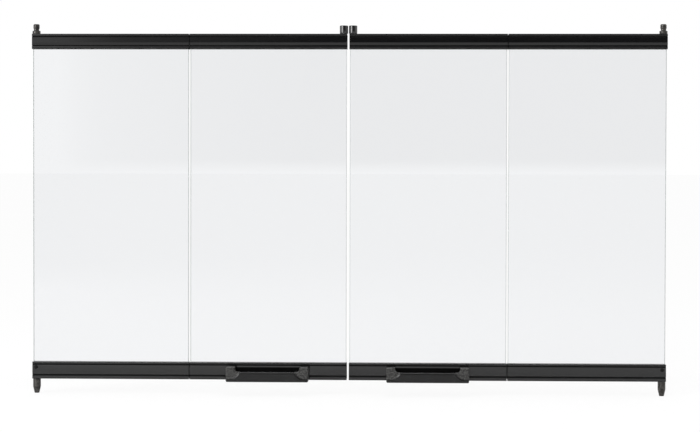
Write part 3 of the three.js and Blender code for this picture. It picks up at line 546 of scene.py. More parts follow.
def spring_form():
    """A compression spring between the bracket's seat and the plunger's bore, with closed ends: a
    round wire whose axis is a helix. A point at share t and section angle b is
    ((R + w cos b) cos a, (R + w cos b) sin a, h(t) + w sin b), with a = 2 pi turns t, and h rises
    slowly over the first and last turn."""
    wire, radius, turns = 0.4, 2.4, 9.0
    t = np.linspace(0, 1, 289)
    rise = np.clip((t * turns - 0.75) / (turns - 1.5), 0, 1)
    closed_turn = np.clip(t * turns, 0, 0.75) + np.clip(t * turns - turns + 0.75, 0, 0.75)
    h = wire + 0.9 * closed_turn + (SPRING_LENGTH - 2 * wire - 1.35) * rise
    a, b = 2 * np.pi * turns * t, np.arange(14) * 2 * np.pi / 14
    reach = radius + wire * np.cos(b)[None]
    grid = np.stack([reach * np.cos(a)[:, None], reach * np.sin(a)[:, None],
                     h[:, None] + wire * np.sin(b)[None] * np.ones((len(t), 1))], -1)
    caps = [list(range(14)), list(range(len(t) * 14 - 1, (len(t) - 1) * 14 - 1, -1))]
    return shell(grid, quads(len(t), 14, wrap_columns=True)[:, ::-1].tolist() + caps)


def roller_form():
    """A moulded guide roller with its foot at z = 0, counterbored for the axle's head."""
    outline = [[2.8, 0], [6.0, 0], [6.0, 11.7], [4.3, 11.7], [4.3, 8.9], [2.8, 8.9]]
    return ring(rounded(outline, np.array([0.3, 0.85, 0.85, 0.3, 0.15, 0.1]), 8), 96)


def axle_form():
    """A roller axle with its head's top at z = 0: a domed head, a shank and a riveted foot."""
    outline = np.array([
        [0, -16.6], [2.6, -16.6], [4.0, -15.9], [4.0, -15.0], [2.5, -15.0], [2.5, -1.6], [4.0, -1.6],
        [4.0, -0.55], [2.4, -0.08], [0, 0]])
    return turned(crowned(outline, np.array([0, 0.6, 0.3, 0.1, 0.1, 0.1, 0.15, 0.4, 2.0, 0]), 6))


def rivet_form(reach, head_gap, tail_gap):
    """A rivet along -Y from a surface at y = 0 through to one at y = -reach: a low domed head, a
    shank, and a flat set tail."""
    head = np.linspace(0, 1, 9)[1:]
    dome = np.stack([2.7 * np.cos(np.pi / 2 * head), head_gap + 0.25 + 0.75 * np.sin(np.pi / 2 * head)], 1)
    foot = -reach - tail_gap
    outline = np.concatenate([
        [[0, foot - 1.1], [2.1, foot - 1.1], [2.4, foot - 0.8], [2.4, foot], [1.6, foot],
         [1.6, head_gap], [2.55, head_gap], [2.7, head_gap + 0.25]], dome])
    return laid_along_y(turned(outline, 40))


def slab(x0, x1, y0, y1, z0, z1):
    """A box between two corners: its (x, y) outline drawn along Z."""
    return drawn([[x0, y0], [x1, y0], [x1, y1], [x0, y1]], "z", z0, z1, 0.001)


def hinge_leaf(place_name, side):
    """A leaf of a three-knuckle hinge, the outer one for side 1 and the inner one for side -1,
    with its two rivets, and the cutters for the other leaf's knuckles. The leaf is a ribbon that
    runs flat and then rolls round the pin, drawn along Z."""
    foot, height, rivet_z = HINGES[place_name]
    middle, pitch = KNUCKLE - HINGE_LEAF / 2, height / 3
    roll = np.radians(np.linspace(270, 270 - 292, 41))
    rolled = np.stack([middle * np.cos(roll), middle * np.sin(roll)], 1)
    flat = np.array([[26.0, -middle], [14.0, -middle], [3.0, -middle], [1.2, -middle]])
    path = np.concatenate([flat, rolled]) * np.array([side, 1])
    leaf = drawn(ribbon(path, HINGE_LEAF), "z", 0, height, 0.15)
    lost = ([(pitch - 0.15, 2 * pitch + 0.15)] if side > 0
            else [(-1, pitch + 0.15), (2 * pitch - 0.15, height + 1)])
    cutters = [slab(*sorted((-3.4 * side, 3.0 * side)), -3.4, 3.4, z0, z1) for z0, z1 in lost]
    at = dict(x=HINGE_X, y=HINGE_Y, z=foot)
    rivets = [moved(rivet_form(HINGE_LEAF + FIT + RAIL_WALL, FUSED, FIT), side * x + HINGE_X,
                    HINGE_Y + HINGE_LEAF - KNUCKLE, rivet_z) for x in HINGE_RIVETS]
    return moved(leaf, **at), [moved(cutter, **at) for cutter in cutters], rivets


def hinge_pin_form(height):
    """A hinge pin with peened, slightly domed ends."""
    outline = np.array([[0, -1.0], [1.4, -0.9], [2.0, -0.7], [2.0, -0.3], [1.3, -0.3]])
    top = outline[::-1] * np.array([1, -1]) + np.array([0, height])
    return turned(crowned(np.concatenate([outline, top]), 0.12), 40)


def block_share(distance):
    """How much of the handle's section is block at a distance from its middle: 0 along the grip
    bar, a quarter-ellipse fillet up to 0.88, and a small round edge up to 1."""
    inside = HANDLE_LENGTH / 2 - HANDLE_BLOCK - distance
    t = np.clip(1 - inside / HANDLE_FILLET, 0, 1)
    s = np.clip(1 + inside / HANDLE_EDGE, 0, 1)
    fillet = 0.88 * (1 - np.sqrt(1 - t * t))
    edge = 1 - 0.12 * (1 - np.sqrt(1 - s * s))
    return np.where(inside >= 0, fillet, edge)


def pad_share(from_end, height):
    """Where the handle's rough pads are, 0 to 1: inside a circle about a point near the end of
    the handle, and straight on from there to the end, with a soft edge 2.8 mm wide."""
    across = np.maximum(from_end, PAD_CENTRE[0]) - PAD_CENTRE[0]
    reach = np.hypot(across, height - PAD_CENTRE[1])
    t = np.clip((PAD_RADIUS + 1.0 - reach) / 2.8, 0, 1)
    return t * t * (3 - 2 * t)


def handle_form():
    """A handle, cast in one piece, and the share of pad at each point. Its (y, z) section at x is
    a rounded rectangle between the rail side and the front: back and top move from the grip
    bar's to the block's by the block share, the front steps back over the pads, and all sides
    draw in over the last few millimetres as a quarter circle."""
    half = HANDLE_LENGTH / 2
    quarter = np.sin(np.linspace(0, np.pi / 2, 17))
    inner = half - HANDLE_BLOCK
    right = np.concatenate([
        np.linspace(2, inner - HANDLE_FILLET - 4, 12),
        np.linspace(inner - HANDLE_FILLET - 3.5, inner - HANDLE_FILLET, 8),
        inner - HANDLE_FILLET * (1 - quarter[1:]), inner + HANDLE_EDGE * (1 - quarter[::-2][1:]),
        np.linspace(inner + 2.6, half - 2.4, 12), half - HANDLE_EDGE * (1 - quarter[::2])])
    x = np.concatenate([-right[::-1], [0], right])
    distance = np.abs(x)
    share = block_share(distance)
    to_end = np.minimum(half - distance, HANDLE_EDGE)
    inset = HANDLE_EDGE - np.sqrt(np.maximum(HANDLE_EDGE ** 2 - (HANDLE_EDGE - to_end) ** 2, 0))
    back = -FIT - (1 - share) * (HANDLE_PROJECTION - GRIP_DEPTH - FIT)
    front = -HANDLE_PROJECTION + inset
    top = GRIP_HEIGHT + share * (HANDLE_HEIGHT - GRIP_HEIGHT) - inset
    rear = 1 + 2 * (1 - share)
    nose = 2.6 - 1.3 * share
    sides = []
    for cy, cz, radius, start, steps in (
            (back - rear, top + GRIP_RISE * (1 - share) - rear, rear, 0, 9),
            (front + nose, top - nose, nose, 90, 11),
            (front + 4, inset + 4, 4 + 0 * x, 180, 11), (back - rear, inset + rear, rear, 270, 9)):
        angle = np.radians(start + np.linspace(0, 90, steps))
        sides.append(np.stack([cy[:, None] + radius[:, None] * np.cos(angle),
                               cz[:, None] + radius[:, None] * np.sin(angle)], -1))
    t = np.linspace(0, 1, 18)[1:-1, None]
    sides.insert(2, sides[1][:, -1][:, None] * (1 - t) + sides[2][:, 0][:, None] * t)
    section = np.concatenate(sides, 1)
    pad = pad_share(half - distance[:, None], section[..., 1])
    section[:, 9:-9, 0] += PAD_STEP * pad[:, 9:-9]
    rows, columns = section.shape[:2]
    grid = np.concatenate([np.repeat(x[:, None, None], columns, 1), section], -1)
    caps = [list(range(columns)), list(range(rows * columns - 1, (rows - 1) * columns - 1, -1))]
    form = shell(grid, quads(rows, columns, wrap_columns=True)[:, ::-1].tolist() + caps)
    return moved(form, INNER_CENTRE, -RAIL_HALF, HANDLE_FOOT), pad.ravel()


def screw_form(x):
    """A handle screw along -Y, with a domed pan head behind the rail, and the cutter for the
    cross in its head: a twelve-cornered outline drawn along Y."""
    dome = np.linspace(0, np.pi / 2, 8)
    head = np.stack([2.6 + 1.4 * np.cos(dome), 0.8 + 1.4 * np.sin(dome)], 1)
    length = FIT + 2 * RAIL_HALF + SCREW_REACH
    outline = np.concatenate([[[0, -length], [1.5, -length], [2.0, 0.6 - length], [2.0, 0], [3.85, 0],
                               [4.0, 0.2]], head, [[0, 2.3]]])
    at = dict(x=x, y=RAIL_HALF + FIT, z=SCREW_HEIGHT)
    return moved(laid_along_y(turned(outline, 48)), **at), [moved(drawn(CROSS, "y", 1.0, 3, 0.001), **at)]

# ---------------------------------------------------------------- finishes


def finish(name, colour, roughness, metallic=0.0, **inputs):
    """A node material on the Principled shader, and what its other nodes need."""
    material = bpy.data.materials.new(name)
    material.use_nodes = True
    tree = material.node_tree
    shader = tree.nodes["Principled BSDF"]
    shader.inputs["Base Color"].default_value = (*colour, 1)
    shader.inputs["Roughness"].default_value = roughness
    shader.inputs["Metallic"].default_value = metallic
    for key, value in inputs.items():
        shader.inputs[key.replace("_", " ")].default_value = value
    return material, tree, shader


def node(tree, kind, **values):
    """A node, with its properties and unlinked inputs set."""
    made = tree.nodes.new(kind)
    for key, value in values.items():
        if hasattr(made, key):
            setattr(made, key, value)
        else:
            made.inputs[key.replace("_", " ")].default_value = value
    return made


def noise(tree, scale, stretch=(1, 1, 1), detail=3.0, rough=0.55):
    """Noise on Object coordinates, scale waves to the metre, stretched along an axis by a small
    factor."""
    place_in = node(tree, "ShaderNodeTexCoord")
    mapping = node(tree, "ShaderNodeMapping")
    mapping.inputs["Scale"].default_value = stretch
    made = node(tree, "ShaderNodeTexNoise", Scale=scale, Detail=detail, Roughness=rough)
    tree.links.new(place_in.outputs["Object"], mapping.inputs["Vector"])
    tree.links.new(mapping.outputs["Vector"], made.inputs["Vector"])
    return made.outputs["Fac"]


def spread(tree, value, low, high, start=0.3, end=0.7):
    """A value taken from a range and carried over to another."""
    made = node(tree, "ShaderNodeMapRange")
    for key, number in (("From Min", start), ("From Max", end), ("To Min", low), ("To Max", high)):
        made.inputs[key].default_value = number
    tree.links.new(value, made.inputs["Value"])
    return made.outputs["Result"]


def tinted(tree, shader, value, dark, light):
    """The base colour between two colours, by a value from 0 to 1."""
    ramp = node(tree, "ShaderNodeValToRGB")
    ramp.color_ramp.elements[0].color = (*dark, 1)
    ramp.color_ramp.elements[1].color = (*light, 1)
    ramp.color_ramp.elements[0].position, ramp.color_ramp.elements[1].position = 0.3, 0.7
    tree.links.new(value, ramp.inputs["Fac"])
    tree.links.new(ramp.outputs["Color"], shader.inputs["Base Color"])


def relief(tree, shader, heights):
    """Bumps laid on each other: (height, depth in metres), the last one on top."""
    before = None
    for height, depth in heights:
        bump = node(tree, "ShaderNodeBump", Strength=1.0, Distance=depth)
        tree.links.new(height, bump.inputs["Height"])
        if before:
            tree.links.new(before, bump.inputs["Normal"])
        before = bump.outputs["Normal"]
    tree.links.new(before, shader.inputs["Normal"])


def rail_paint():
    """Gloss black stove paint over an extrusion: faint die lines along the rail under a fine
    orange peel, and a roughness that drifts."""
    material, tree, shader = finish("rail_paint", (0.005, 0.005, 0.0053), 0.05)
    peel = noise(tree, 420, detail=1.5)
    lines = noise(tree, 900, (0.012, 1, 1), detail=2.0)
    drift = noise(tree, 14, (0.4, 1, 1))
    tree.links.new(spread(tree, drift, 0.035, 0.075), shader.inputs["Roughness"])
    tinted(tree, shader, noise(tree, 30, (0.3, 1, 1)), (0.0035, 0.0035, 0.0037), (0.006, 0.006, 0.0063))
    relief(tree, shader, [(lines, 0.0000016), (peel, 0.000004)])
    return material


def recess_paint():
    """Thin dull black with little gloss. It is painted shade in the rails' grooves. Along their lip it is
    partly painted shade and partly the lip's own dull black.
    """
    material, tree, shader = finish("recess_paint", (0.005, 0.005, 0.005), 0.6, Specular_IOR_Level=0.15)
    tree.links.new(spread(tree, noise(tree, 60), 0.5, 0.7), shader.inputs["Roughness"])
    tinted(tree, shader, noise(tree, 160, (0.1, 1, 1)), (0.0025, 0.0025, 0.0025), (0.008, 0.008, 0.008))
    relief(tree, shader, [(noise(tree, 1800, detail=2.0), 0.00001)])
    return material


def hollow_black():
    """Near-black and almost without gloss: painted shade on the handle's web."""
    material, tree, shader = finish("hollow_black", (0.001, 0.001, 0.001), 0.8, Specular_IOR_Level=0.04)
    tree.links.new(spread(tree, noise(tree, 90), 0.7, 0.9), shader.inputs["Roughness"])
    tinted(tree, shader, noise(tree, 240), (0.0006, 0.0006, 0.0006), (0.002, 0.002, 0.002))
    relief(tree, shader, [(noise(tree, 1500, detail=2.0), 0.00002)])
    return material


def cast_paint():
    """Black paint on a sand casting: grainy on the pads at its ends, with bare grey showing where
    the grains stand up, and rubbed smooth elsewhere. The pad attribute says which."""
    material, tree, shader = finish("cast_paint", (0.016, 0.016, 0.016), 0.3, Specular_IOR_Level=0.3)
    pad = node(tree, "ShaderNodeAttribute", attribute_name="pad").outputs["Fac"]
    grains = noise(tree, 560, detail=3.0, rough=0.65)
    heights = []
    for value, depth in ((grains, 0.0007), (noise(tree, 1500, detail=2.0), 0.0003)):
        grain = node(tree, "ShaderNodeMath", operation="MULTIPLY")
        tree.links.new(value, grain.inputs[0])
        tree.links.new(spread(tree, pad, 0.012, 1.0, 0.2, 0.9), grain.inputs[1])
        heights.append((grain.outputs[0], depth))
    tree.links.new(spread(tree, pad, 0.17, 0.36, 0.2, 0.9), shader.inputs["Roughness"])
    shown = node(tree, "ShaderNodeMath", operation="MULTIPLY")
    tree.links.new(spread(tree, grains, 0.0, 1.0, 0.42, 0.6), shown.inputs[0])
    tree.links.new(pad, shown.inputs[1])
    colour = node(tree, "ShaderNodeMix", data_type="RGBA")
    colour.inputs[6].default_value = (0.007, 0.007, 0.007, 1)
    colour.inputs[7].default_value = (0.075, 0.074, 0.071, 1)
    tree.links.new(shown.outputs[0], colour.inputs[0])
    tree.links.new(colour.outputs[2], shader.inputs["Base Color"])
    relief(tree, shader, heights)
    return material


def pivot_steel():
    """Dark oiled steel with turning marks round the pivots and a brown bloom."""
    material, tree, shader = finish("pivot_steel", (0.05, 0.047, 0.043), 0.36, 0.6)
    tinted(tree, shader, noise(tree, 210, detail=5.0), (0.010, 0.0095, 0.009), (0.085, 0.080, 0.074))
    tree.links.new(spread(tree, noise(tree, 320), 0.2, 0.42), shader.inputs["Roughness"])
    relief(tree, shader, [(noise(tree, 2600, (0.05, 0.05, 1), detail=1.0), 0.00003),
                          (noise(tree, 700), 0.00004)])
    return material


def roller_nylon():
    """Black moulded nylon, polished by the track, with faint scuffs round it."""
    material, tree, shader = finish("roller_nylon", (0.008, 0.008, 0.0085), 0.09, Specular_IOR_Level=0.75)
    tree.links.new(spread(tree, noise(tree, 500, (0.25, 0.25, 1)), 0.06, 0.13), shader.inputs["Roughness"])
    tinted(tree, shader, noise(tree, 240), (0.006, 0.006, 0.0065), (0.010, 0.010, 0.0105))
    relief(tree, shader, [(noise(tree, 1500, (0.08, 0.08, 1), detail=1.0), 0.000012)])
    return material


def plated(name, dark, light, roughness, scale):
    """Plated steel: patches of lighter and darker metal, brushed faintly."""
    material, tree, shader = finish(name, light, roughness, 1.0)
    tinted(tree, shader, noise(tree, scale, detail=4.0), dark, light)
    tree.links.new(spread(tree, noise(tree, scale * 2), roughness - 0.07, roughness + 0.09),
                   shader.inputs["Roughness"])
    relief(tree, shader, [(noise(tree, scale * 9, (1, 1, 0.2), detail=2.0), 0.00002)])
    return material


def hinge_steel():
    """Blackened hinge steel, rubbed lighter in places."""
    material, tree, shader = finish("hinge_steel", (0.06, 0.06, 0.061), 0.38, 0.8)
    tinted(tree, shader, noise(tree, 180, detail=5.0), (0.04, 0.04, 0.041), (0.11, 0.11, 0.112))
    tree.links.new(spread(tree, noise(tree, 420), 0.3, 0.48), shader.inputs["Roughness"])
    relief(tree, shader, [(noise(tree, 1800, (1, 1, 0.15), detail=2.0), 0.00003)])
    return material


def gasket_braid():
    """Graphite-grey braided glass fibre: two sets of slanting strands that cross."""
    material, tree, shader = finish("gasket_braid", (0.06, 0.06, 0.058), 0.9)
    place_in = node(tree, "ShaderNodeTexCoord")
    strands = []
    for slant in (math.radians(38), math.radians(-38)):
        mapping = node(tree, "ShaderNodeMapping")
        mapping.inputs["Rotation"].default_value = (0, slant, 0)
        wave_node = node(tree, "ShaderNodeTexWave", bands_direction="X", Scale=190, Distortion=0.6,
                         Detail=1.5)
        tree.links.new(place_in.outputs["Object"], mapping.inputs["Vector"])
        tree.links.new(mapping.outputs["Vector"], wave_node.inputs["Vector"])
        strands.append(wave_node.outputs["Fac"])
    crossed = node(tree, "ShaderNodeMath", operation="MAXIMUM")
    tree.links.new(strands[0], crossed.inputs[0])
    tree.links.new(strands[1], crossed.inputs[1])
    tinted(tree, shader, crossed.outputs[0], (0.025, 0.025, 0.024), (0.085, 0.085, 0.08))
    relief(tree, shader, [(crossed.outputs[0], 0.0003), (noise(tree, 2200), 0.0001)])
    return material


def pane_glass():
    """Clear tempered glass, faintly cool, with a trace of dust in its roughness."""
    material, tree, shader = finish("pane_glass", (0.886, 0.894, 0.906), 0.0, IOR=1.5,
                                    Transmission_Weight=1.0, Specular_IOR_Level=0.12)
    tree.links.new(spread(tree, noise(tree, 6), 0.0, 0.012), shader.inputs["Roughness"])
    return material


def ground_edge():
    """The ground edge of a pane: matt, grey and a little green, with a fine grinding grain."""
    material, tree, shader = finish("ground_edge", (0.42, 0.46, 0.45), 0.4, IOR=1.5,
                                    Transmission_Weight=0.55)
    tree.links.new(spread(tree, noise(tree, 900), 0.32, 0.5), shader.inputs["Roughness"])
    relief(tree, shader, [(noise(tree, 3000, detail=2.0), 0.00002)])
    return material


RAIL = rail_paint()
DULL_BLACK_AND_PAINTED_SHADE = recess_paint()
CAST = cast_paint()
PIVOT = pivot_steel()
NYLON = roller_nylon()
SHADE_BLACK = hollow_black()
ZINC = plated("bracket_zinc", (0.48, 0.49, 0.5), (0.62, 0.63, 0.64), 0.34, 90)
AXLE = plated("axle_steel", (0.42, 0.42, 0.42), (0.6, 0.6, 0.59), 0.28, 160)
SPRING = plated("spring_steel", (0.5, 0.5, 0.5), (0.66, 0.66, 0.65), 0.24, 260)
HINGE = hinge_steel()
FASTENER = plated("black_zinc_fastener", (0.035, 0.035, 0.037), (0.075, 0.075, 0.078), 0.33, 320)
BRAID = gasket_braid()
GLASS = pane_glass()
GROUND = ground_edge()

# ---------------------------------------------------------------- the door

for name, centre in (("outer_glass", OUTER_CENTRE), ("inner_glass", INNER_CENTRE)):
    for pane in pair(name, pane_form(centre), GLASS, angle=20):
        pane.data.materials.append(GROUND)
        rim = np.ones(len(pane.data.polygons), np.int32)
        rim[-2:] = 0
        pane.data.polygons.foreach_set("material_index", rim)
        pane.data.polygons.foreach_set("use_smooth", rim.astype(bool))

top_tab = CEILING - FIT - BRACKET_HEIGHT - TAB_RIVET
bottom_tab = FLOOR + FIT + BRACKET_HEIGHT + TAB_RIVET


def back_hole(x, z):
    """A cutter for a rivet's hole through a rail's back wall."""
    return cross_hole(RIVET_HOLE, x, z, RAIL_INSIDE - PAST, RAIL_HALF + PAST)


def hinge_holes(side, place_name):
    """Cutters for the rivets of the outer leaf, for side 1, or of the inner one, for side -1."""
    return [back_hole(HINGE_X + side * x, HINGES[place_name][2]) for x in HINGE_RIVETS]


# Rails
for name, centre, rail, mouth_up, cutters in (
        ("outer_top_rail", OUTER_CENTRE, TOP_RAIL, False, [
            hole(PIVOT_HOLE, PIVOT_X, 0, CEILING - PAST, RAIL_TOP + PAST),
            back_hole(PIVOT_X, top_tab), *hinge_holes(1, "top")]),
        ("inner_top_rail", INNER_CENTRE, TOP_RAIL, False, [
            hole(AXLE_HOLE, ROLLER_X, 0, CEILING - PAST, RAIL_TOP + PAST),
            back_hole(ROLLER_X, top_tab), *hinge_holes(-1, "top")]),
        ("outer_bottom_rail", OUTER_CENTRE, BOTTOM_RAIL, True, [
            hole(PIVOT_HOLE, PIVOT_X, 0, BOTTOM_RAIL["foot"] - PAST, FLOOR + PAST),
            cross_hole(RIVET_HOLE, PIVOT_X, bottom_tab, -RAIL_HALF - PAST, PAST - RAIL_INSIDE),
            *hinge_holes(1, "bottom")]),
        ("inner_bottom_rail", INNER_CENTRE, BOTTOM_RAIL, True, [
            *[cross_hole(SCREW_HOLE, INNER_CENTRE + end * SCREW_CENTRES / 2, SCREW_HEIGHT,
                         -RAIL_HALF - PAST, RAIL_HALF + PAST) for end in (-1, 1)],
            *hinge_holes(-1, "bottom")])):
    for piece in pair(name, rail_form(rail, centre, mouth_up), RAIL, cutters=cutters):
        # the grooves take the dull black as painted shade, and the lip partly so
        piece.data.materials.append(DULL_BLACK_AND_PAINTED_SHADE)
        dull = shaded_grooves_and_dull_lip(piece.data, rail, mouth_up)
        piece.data.polygons.foreach_set("material_index", dull.astype(np.int32))

# Gaskets
for name, centre, start, end, foot, side in (
        ("outer_top_gasket", OUTER_CENTRE, -GASKET_END, GASKET_STOP, GLASS_TOP, -1),
        ("inner_top_gasket", INNER_CENTRE, -GASKET_STOP, GASKET_END, GLASS_TOP, -1),
        ("outer_bottom_gasket", OUTER_CENTRE, -GASKET_END, GASKET_STOP, GLASS_FOOT, 1),
        ("inner_bottom_gasket", INNER_CENTRE, -GASKET_END, GASKET_END, GLASS_FOOT, 1)):
    pair(name, moved(gasket_form(start, end, foot, side), centre), BRAID)

# Pivots of the outer panels
pair("bottom_pivot_bracket", moved(bracket_form(-1), PIVOT_X, 0, FLOOR + FIT), ZINC, cutters=[
    hole(PIVOT_HOLE, PIVOT_X, 0, FLOOR, FLOOR + FIT + SHEET_CUT),
    cross_hole(RIVET_HOLE, PIVOT_X, bottom_tab, -BRACKET_HALF - PAST, SHEET_CUT - BRACKET_HALF)])
top_bracket = moved(turned_over(bracket_form(-1)), PIVOT_X, 0, CEILING - FIT)
pair("top_pivot_bracket", top_bracket, ZINC, cutters=[
    hole(PIVOT_HOLE, PIVOT_X, 0, CEILING - FIT - SHEET_CUT, CEILING),
    cross_hole(RIVET_HOLE, PIVOT_X, top_tab, BRACKET_HALF - SHEET_CUT, BRACKET_HALF + PAST)])
pair("top_pivot_plunger", moved(plunger_form(), PIVOT_X, 0, PLUNGER_TIP), PIVOT)
pair("top_pivot_collar", moved(collar_form(), PIVOT_X, 0, RAIL_TOP + FIT), PIVOT)
pair("bottom_pivot_pin", moved(pin_form(), PIVOT_X), PIVOT)
for spring in pair("top_pivot_spring", moved(spring_form(), PIVOT_X, 0, SEAT + FIT), SPRING):
    side = spring.name.split("_")[0]
    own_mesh(spring)

# Guide rollers of the inner panels
roller_bracket = moved(mirrored(turned_over(bracket_form(-1))), ROLLER_X, 0, CEILING - FIT)
pair("roller_bracket", roller_bracket, ZINC, cutters=[
    hole(AXLE_HOLE, ROLLER_X, 0, CEILING - FIT - SHEET_CUT, CEILING)],
     also=[moved(rivet_form(RIVET_GRIP, FIT, FUSED), ROLLER_X, RAIL_HALF, top_tab)])
pair("guide_roller", moved(roller_form(), ROLLER_X, 0, ROLLER_FOOT), NYLON)
pair("roller_axle", moved(axle_form(), ROLLER_X, 0, AXLE_TOP), AXLE)

# Hinges
for place_name, (foot, height, _) in HINGES.items():
    for leaf_name, side in (("outer", 1), ("inner", -1)):
        leaf, cutters, rivets = hinge_leaf(place_name, side)
        pair(f"{place_name}_hinge_{leaf_name}_leaf", leaf, HINGE, cutters=cutters, also=rivets)
    pair(f"{place_name}_hinge_pin", moved(hinge_pin_form(height), HINGE_X, HINGE_Y, foot), HINGE)

# Handles, their screws, and the rivets of the pivot brackets
form, pad = handle_form()
reach = HANDLE_LENGTH / 2 - HANDLE_BLOCK + 2      # the web runs 2 mm into each block
# the web is a sheet of painted shade above the grip bar
shade_web = moved(slab(-reach, reach, -FIT - SHADE_WEB[0], -FIT, SHADE_WEB[1], SHADE_WEB[2]),
            INNER_CENTRE, -RAIL_HALF, HANDLE_FOOT)
for handle in pair("handle", form, CAST, angle=50, also=[shade_web]):
    mesh = handle.data
    # the web's faces take the near-black that paints the shade above the bar
    mesh.materials.append(SHADE_BLACK)
    rough, dull = np.zeros(len(mesh.vertices)), np.zeros(len(mesh.polygons), int)
    rough[:len(pad)], dull[-len(shade_web[1]):] = pad, 1
    mesh.attributes.new("pad", "FLOAT", "POINT").data.foreach_set("value", rough)
    mesh.polygons.foreach_set("material_index", dull)
for name, end in (("hinge_side", 1), ("centre_side", -1)):
    screw, cross = screw_form(INNER_CENTRE + end * SCREW_CENTRES / 2)
    pair(f"handle_screw_{name}", screw, FASTENER, cutters=cross)
rivet = rivet_form(RIVET_GRIP, FIT, FIT)
pair("top_bracket_rivet", moved(rivet, PIVOT_X, RAIL_HALF, top_tab), FASTENER)
front_rivet = rivet[0] * np.array([-1, -1, 1]), rivet[1]      # half a turn about Z
pair("bottom_bracket_rivet", moved(front_rivet, PIVOT_X, -RAIL_HALF, bottom_tab), DULL_BLACK_AND_PAINTED_SHADE)

# ---------------------------------------------------------------- the studio


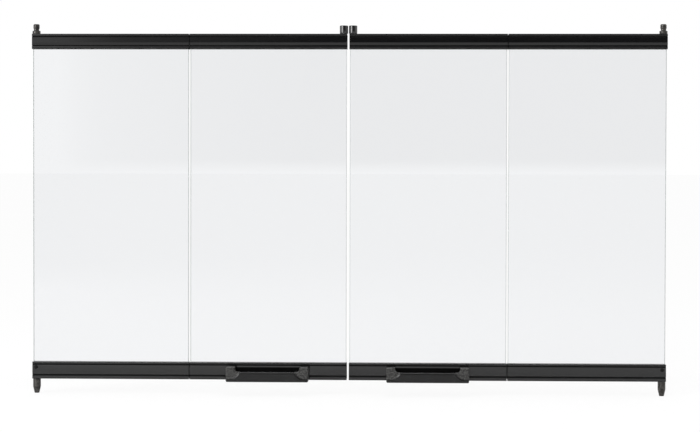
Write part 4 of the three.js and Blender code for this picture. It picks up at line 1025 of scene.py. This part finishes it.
def studio():
    """A pale floor, and a world that is white to look at, in glass and in gloss, and a little dimmer
    to what is matt, because the lamps add the rest. In gloss it is dark in front of the door."""
    floor = bpy.data.objects.new("floor", bpy.data.meshes.new("floor"))
    reach = 120.0
    floor.data.from_pydata([(-reach, -reach, 0), (reach, -reach, 0), (reach, reach, 0), (-reach, reach, 0)],
                           [], [(0, 1, 2, 3)])
    bpy.context.scene.collection.objects.link(floor)
    material, tree, shader = finish("floor_white", (0.92, 0.92, 0.92), 0.9, Specular_IOR_Level=0.0)
    rays = node(tree, "ShaderNodeLightPath")
    seen = node(tree, "ShaderNodeMath", operation="MAXIMUM")
    tree.links.new(rays.outputs["Is Camera Ray"], seen.inputs[0])
    tree.links.new(rays.outputs["Is Transmission Ray"], seen.inputs[1])
    white = node(tree, "ShaderNodeEmission", Color=(1, 1, 1, 1), Strength=1.0)
    mixed = node(tree, "ShaderNodeMixShader")
    tree.links.new(spread(tree, seen.outputs[0], 0.0, 0.88, 0, 1), mixed.inputs[0])
    tree.links.new(shader.outputs[0], mixed.inputs[1])
    tree.links.new(white.outputs[0], mixed.inputs[2])
    tree.links.new(mixed.outputs[0], tree.nodes["Material Output"].inputs["Surface"])
    floor.data.materials.append(material)

    world = bpy.data.worlds.new("studio")
    bpy.context.scene.world = world
    world.use_nodes = True
    tree = world.node_tree
    sky = tree.nodes["Background"]
    sky.inputs["Strength"].default_value = 1.0
    direction = node(tree, "ShaderNodeTexCoord")
    parts = node(tree, "ShaderNodeSeparateXYZ")
    tree.links.new(direction.outputs["Generated"], parts.inputs["Vector"])
    bearing = node(tree, "ShaderNodeMath", operation="ARCTAN2")
    behind = node(tree, "ShaderNodeMath", operation="MULTIPLY")
    behind.inputs[1].default_value = -1
    tree.links.new(parts.outputs["Y"], behind.inputs[0])
    tree.links.new(parts.outputs["X"], bearing.inputs[0])
    tree.links.new(behind.outputs[0], bearing.inputs[1])
    edge = node(tree, "ShaderNodeValToRGB")
    stops = edge.color_ramp.elements
    for place_at, amount in ((0.15, 0.0), (0.2, 0.33), (0.25, 0.53), (0.3, 0.62), (0.425, 0.76),
                             (0.6, 0.9), (0.75, 1.0)):
        stop = stops[0] if place_at == 0.15 else stops.new(place_at)
        stop.position, stop.color = place_at, (amount, amount, amount, 1)
    stops[-1].color = (1, 1, 1, 1)
    tree.links.new(spread(tree, bearing.outputs[0], 0, 1, -0.2, 0.0), edge.inputs["Fac"])
    dark = edge.outputs["Color"]
    right = spread(tree, bearing.outputs[0], 1, 0, 0.75, 0.95)
    low = spread(tree, parts.outputs["Z"], 0, 1, -0.002, 0.004)
    high = spread(tree, parts.outputs["Z"], 1, 0, 0.9, 0.98)
    rays = node(tree, "ShaderNodeLightPath")
    for other in (right, low, high, rays.outputs["Is Glossy Ray"]):
        both = node(tree, "ShaderNodeMath", operation="MULTIPLY")
        tree.links.new(dark, both.inputs[0])
        tree.links.new(other, both.inputs[1])
        dark = both.outputs[0]
    seen = node(tree, "ShaderNodeMath", operation="MAXIMUM")
    tree.links.new(rays.outputs["Is Camera Ray"], seen.inputs[0])
    tree.links.new(rays.outputs["Is Transmission Ray"], seen.inputs[1])
    looked_at = node(tree, "ShaderNodeMath", operation="MAXIMUM")
    tree.links.new(seen.outputs[0], looked_at.inputs[0])
    tree.links.new(rays.outputs["Is Glossy Ray"], looked_at.inputs[1])
    light = node(tree, "ShaderNodeMix", data_type="RGBA")
    light.inputs[6].default_value = (0.88, 0.88, 0.88, 1)
    light.inputs[7].default_value = (1, 1, 1, 1)
    tree.links.new(looked_at.outputs[0], light.inputs[0])
    colour = node(tree, "ShaderNodeMix", data_type="RGBA")
    colour.inputs[7].default_value = (0.025, 0.025, 0.025, 1)
    tree.links.new(dark, colour.inputs[0])
    tree.links.new(light.outputs[2], colour.inputs[6])
    tree.links.new(colour.outputs[2], sky.inputs["Color"])


def lamp(name, size, power, at, towards=(0, 0, 0.25)):
    """A rectangular softbox at a place, facing another."""
    light = bpy.data.lights.new(name, "AREA")
    light.shape, light.size, light.size_y, light.energy = "RECTANGLE", *size, power
    obj = bpy.data.objects.new(name, light)
    obj.location = at
    obj.rotation_euler = (Vector(towards) - Vector(at)).to_track_quat("-Z", "Y").to_euler()
    bpy.context.scene.collection.objects.link(obj)


def camera():
    """The photograph's view: from three metres, a little right of and above the middle."""
    data = bpy.data.cameras.new("camera")
    data.lens, data.sensor_width = CAMERA_LENS, 36
    obj = bpy.data.objects.new("camera", data)
    at, towards = Vector(CAMERA_AT), Vector(CAMERA_AIM)
    obj.location = at
    turn = (towards - at).to_track_quat("-Z", "Y").to_matrix()
    turn = turn @ Matrix.Rotation(math.radians(CAMERA_ROLL), 3, "Z")
    obj.rotation_euler = turn.to_euler()
    bpy.context.scene.collection.objects.link(obj)
    bpy.context.scene.camera = obj


studio()
lamp("left_softbox", (1.5, 1.6), 58, (-2.4, -2.2, 1.2))
lamp("overhead_softbox", (2.6, 0.5), 15, (0.0, -1.2, 2.6))
camera()
bpy.context.scene.view_settings.view_transform = "Standard"
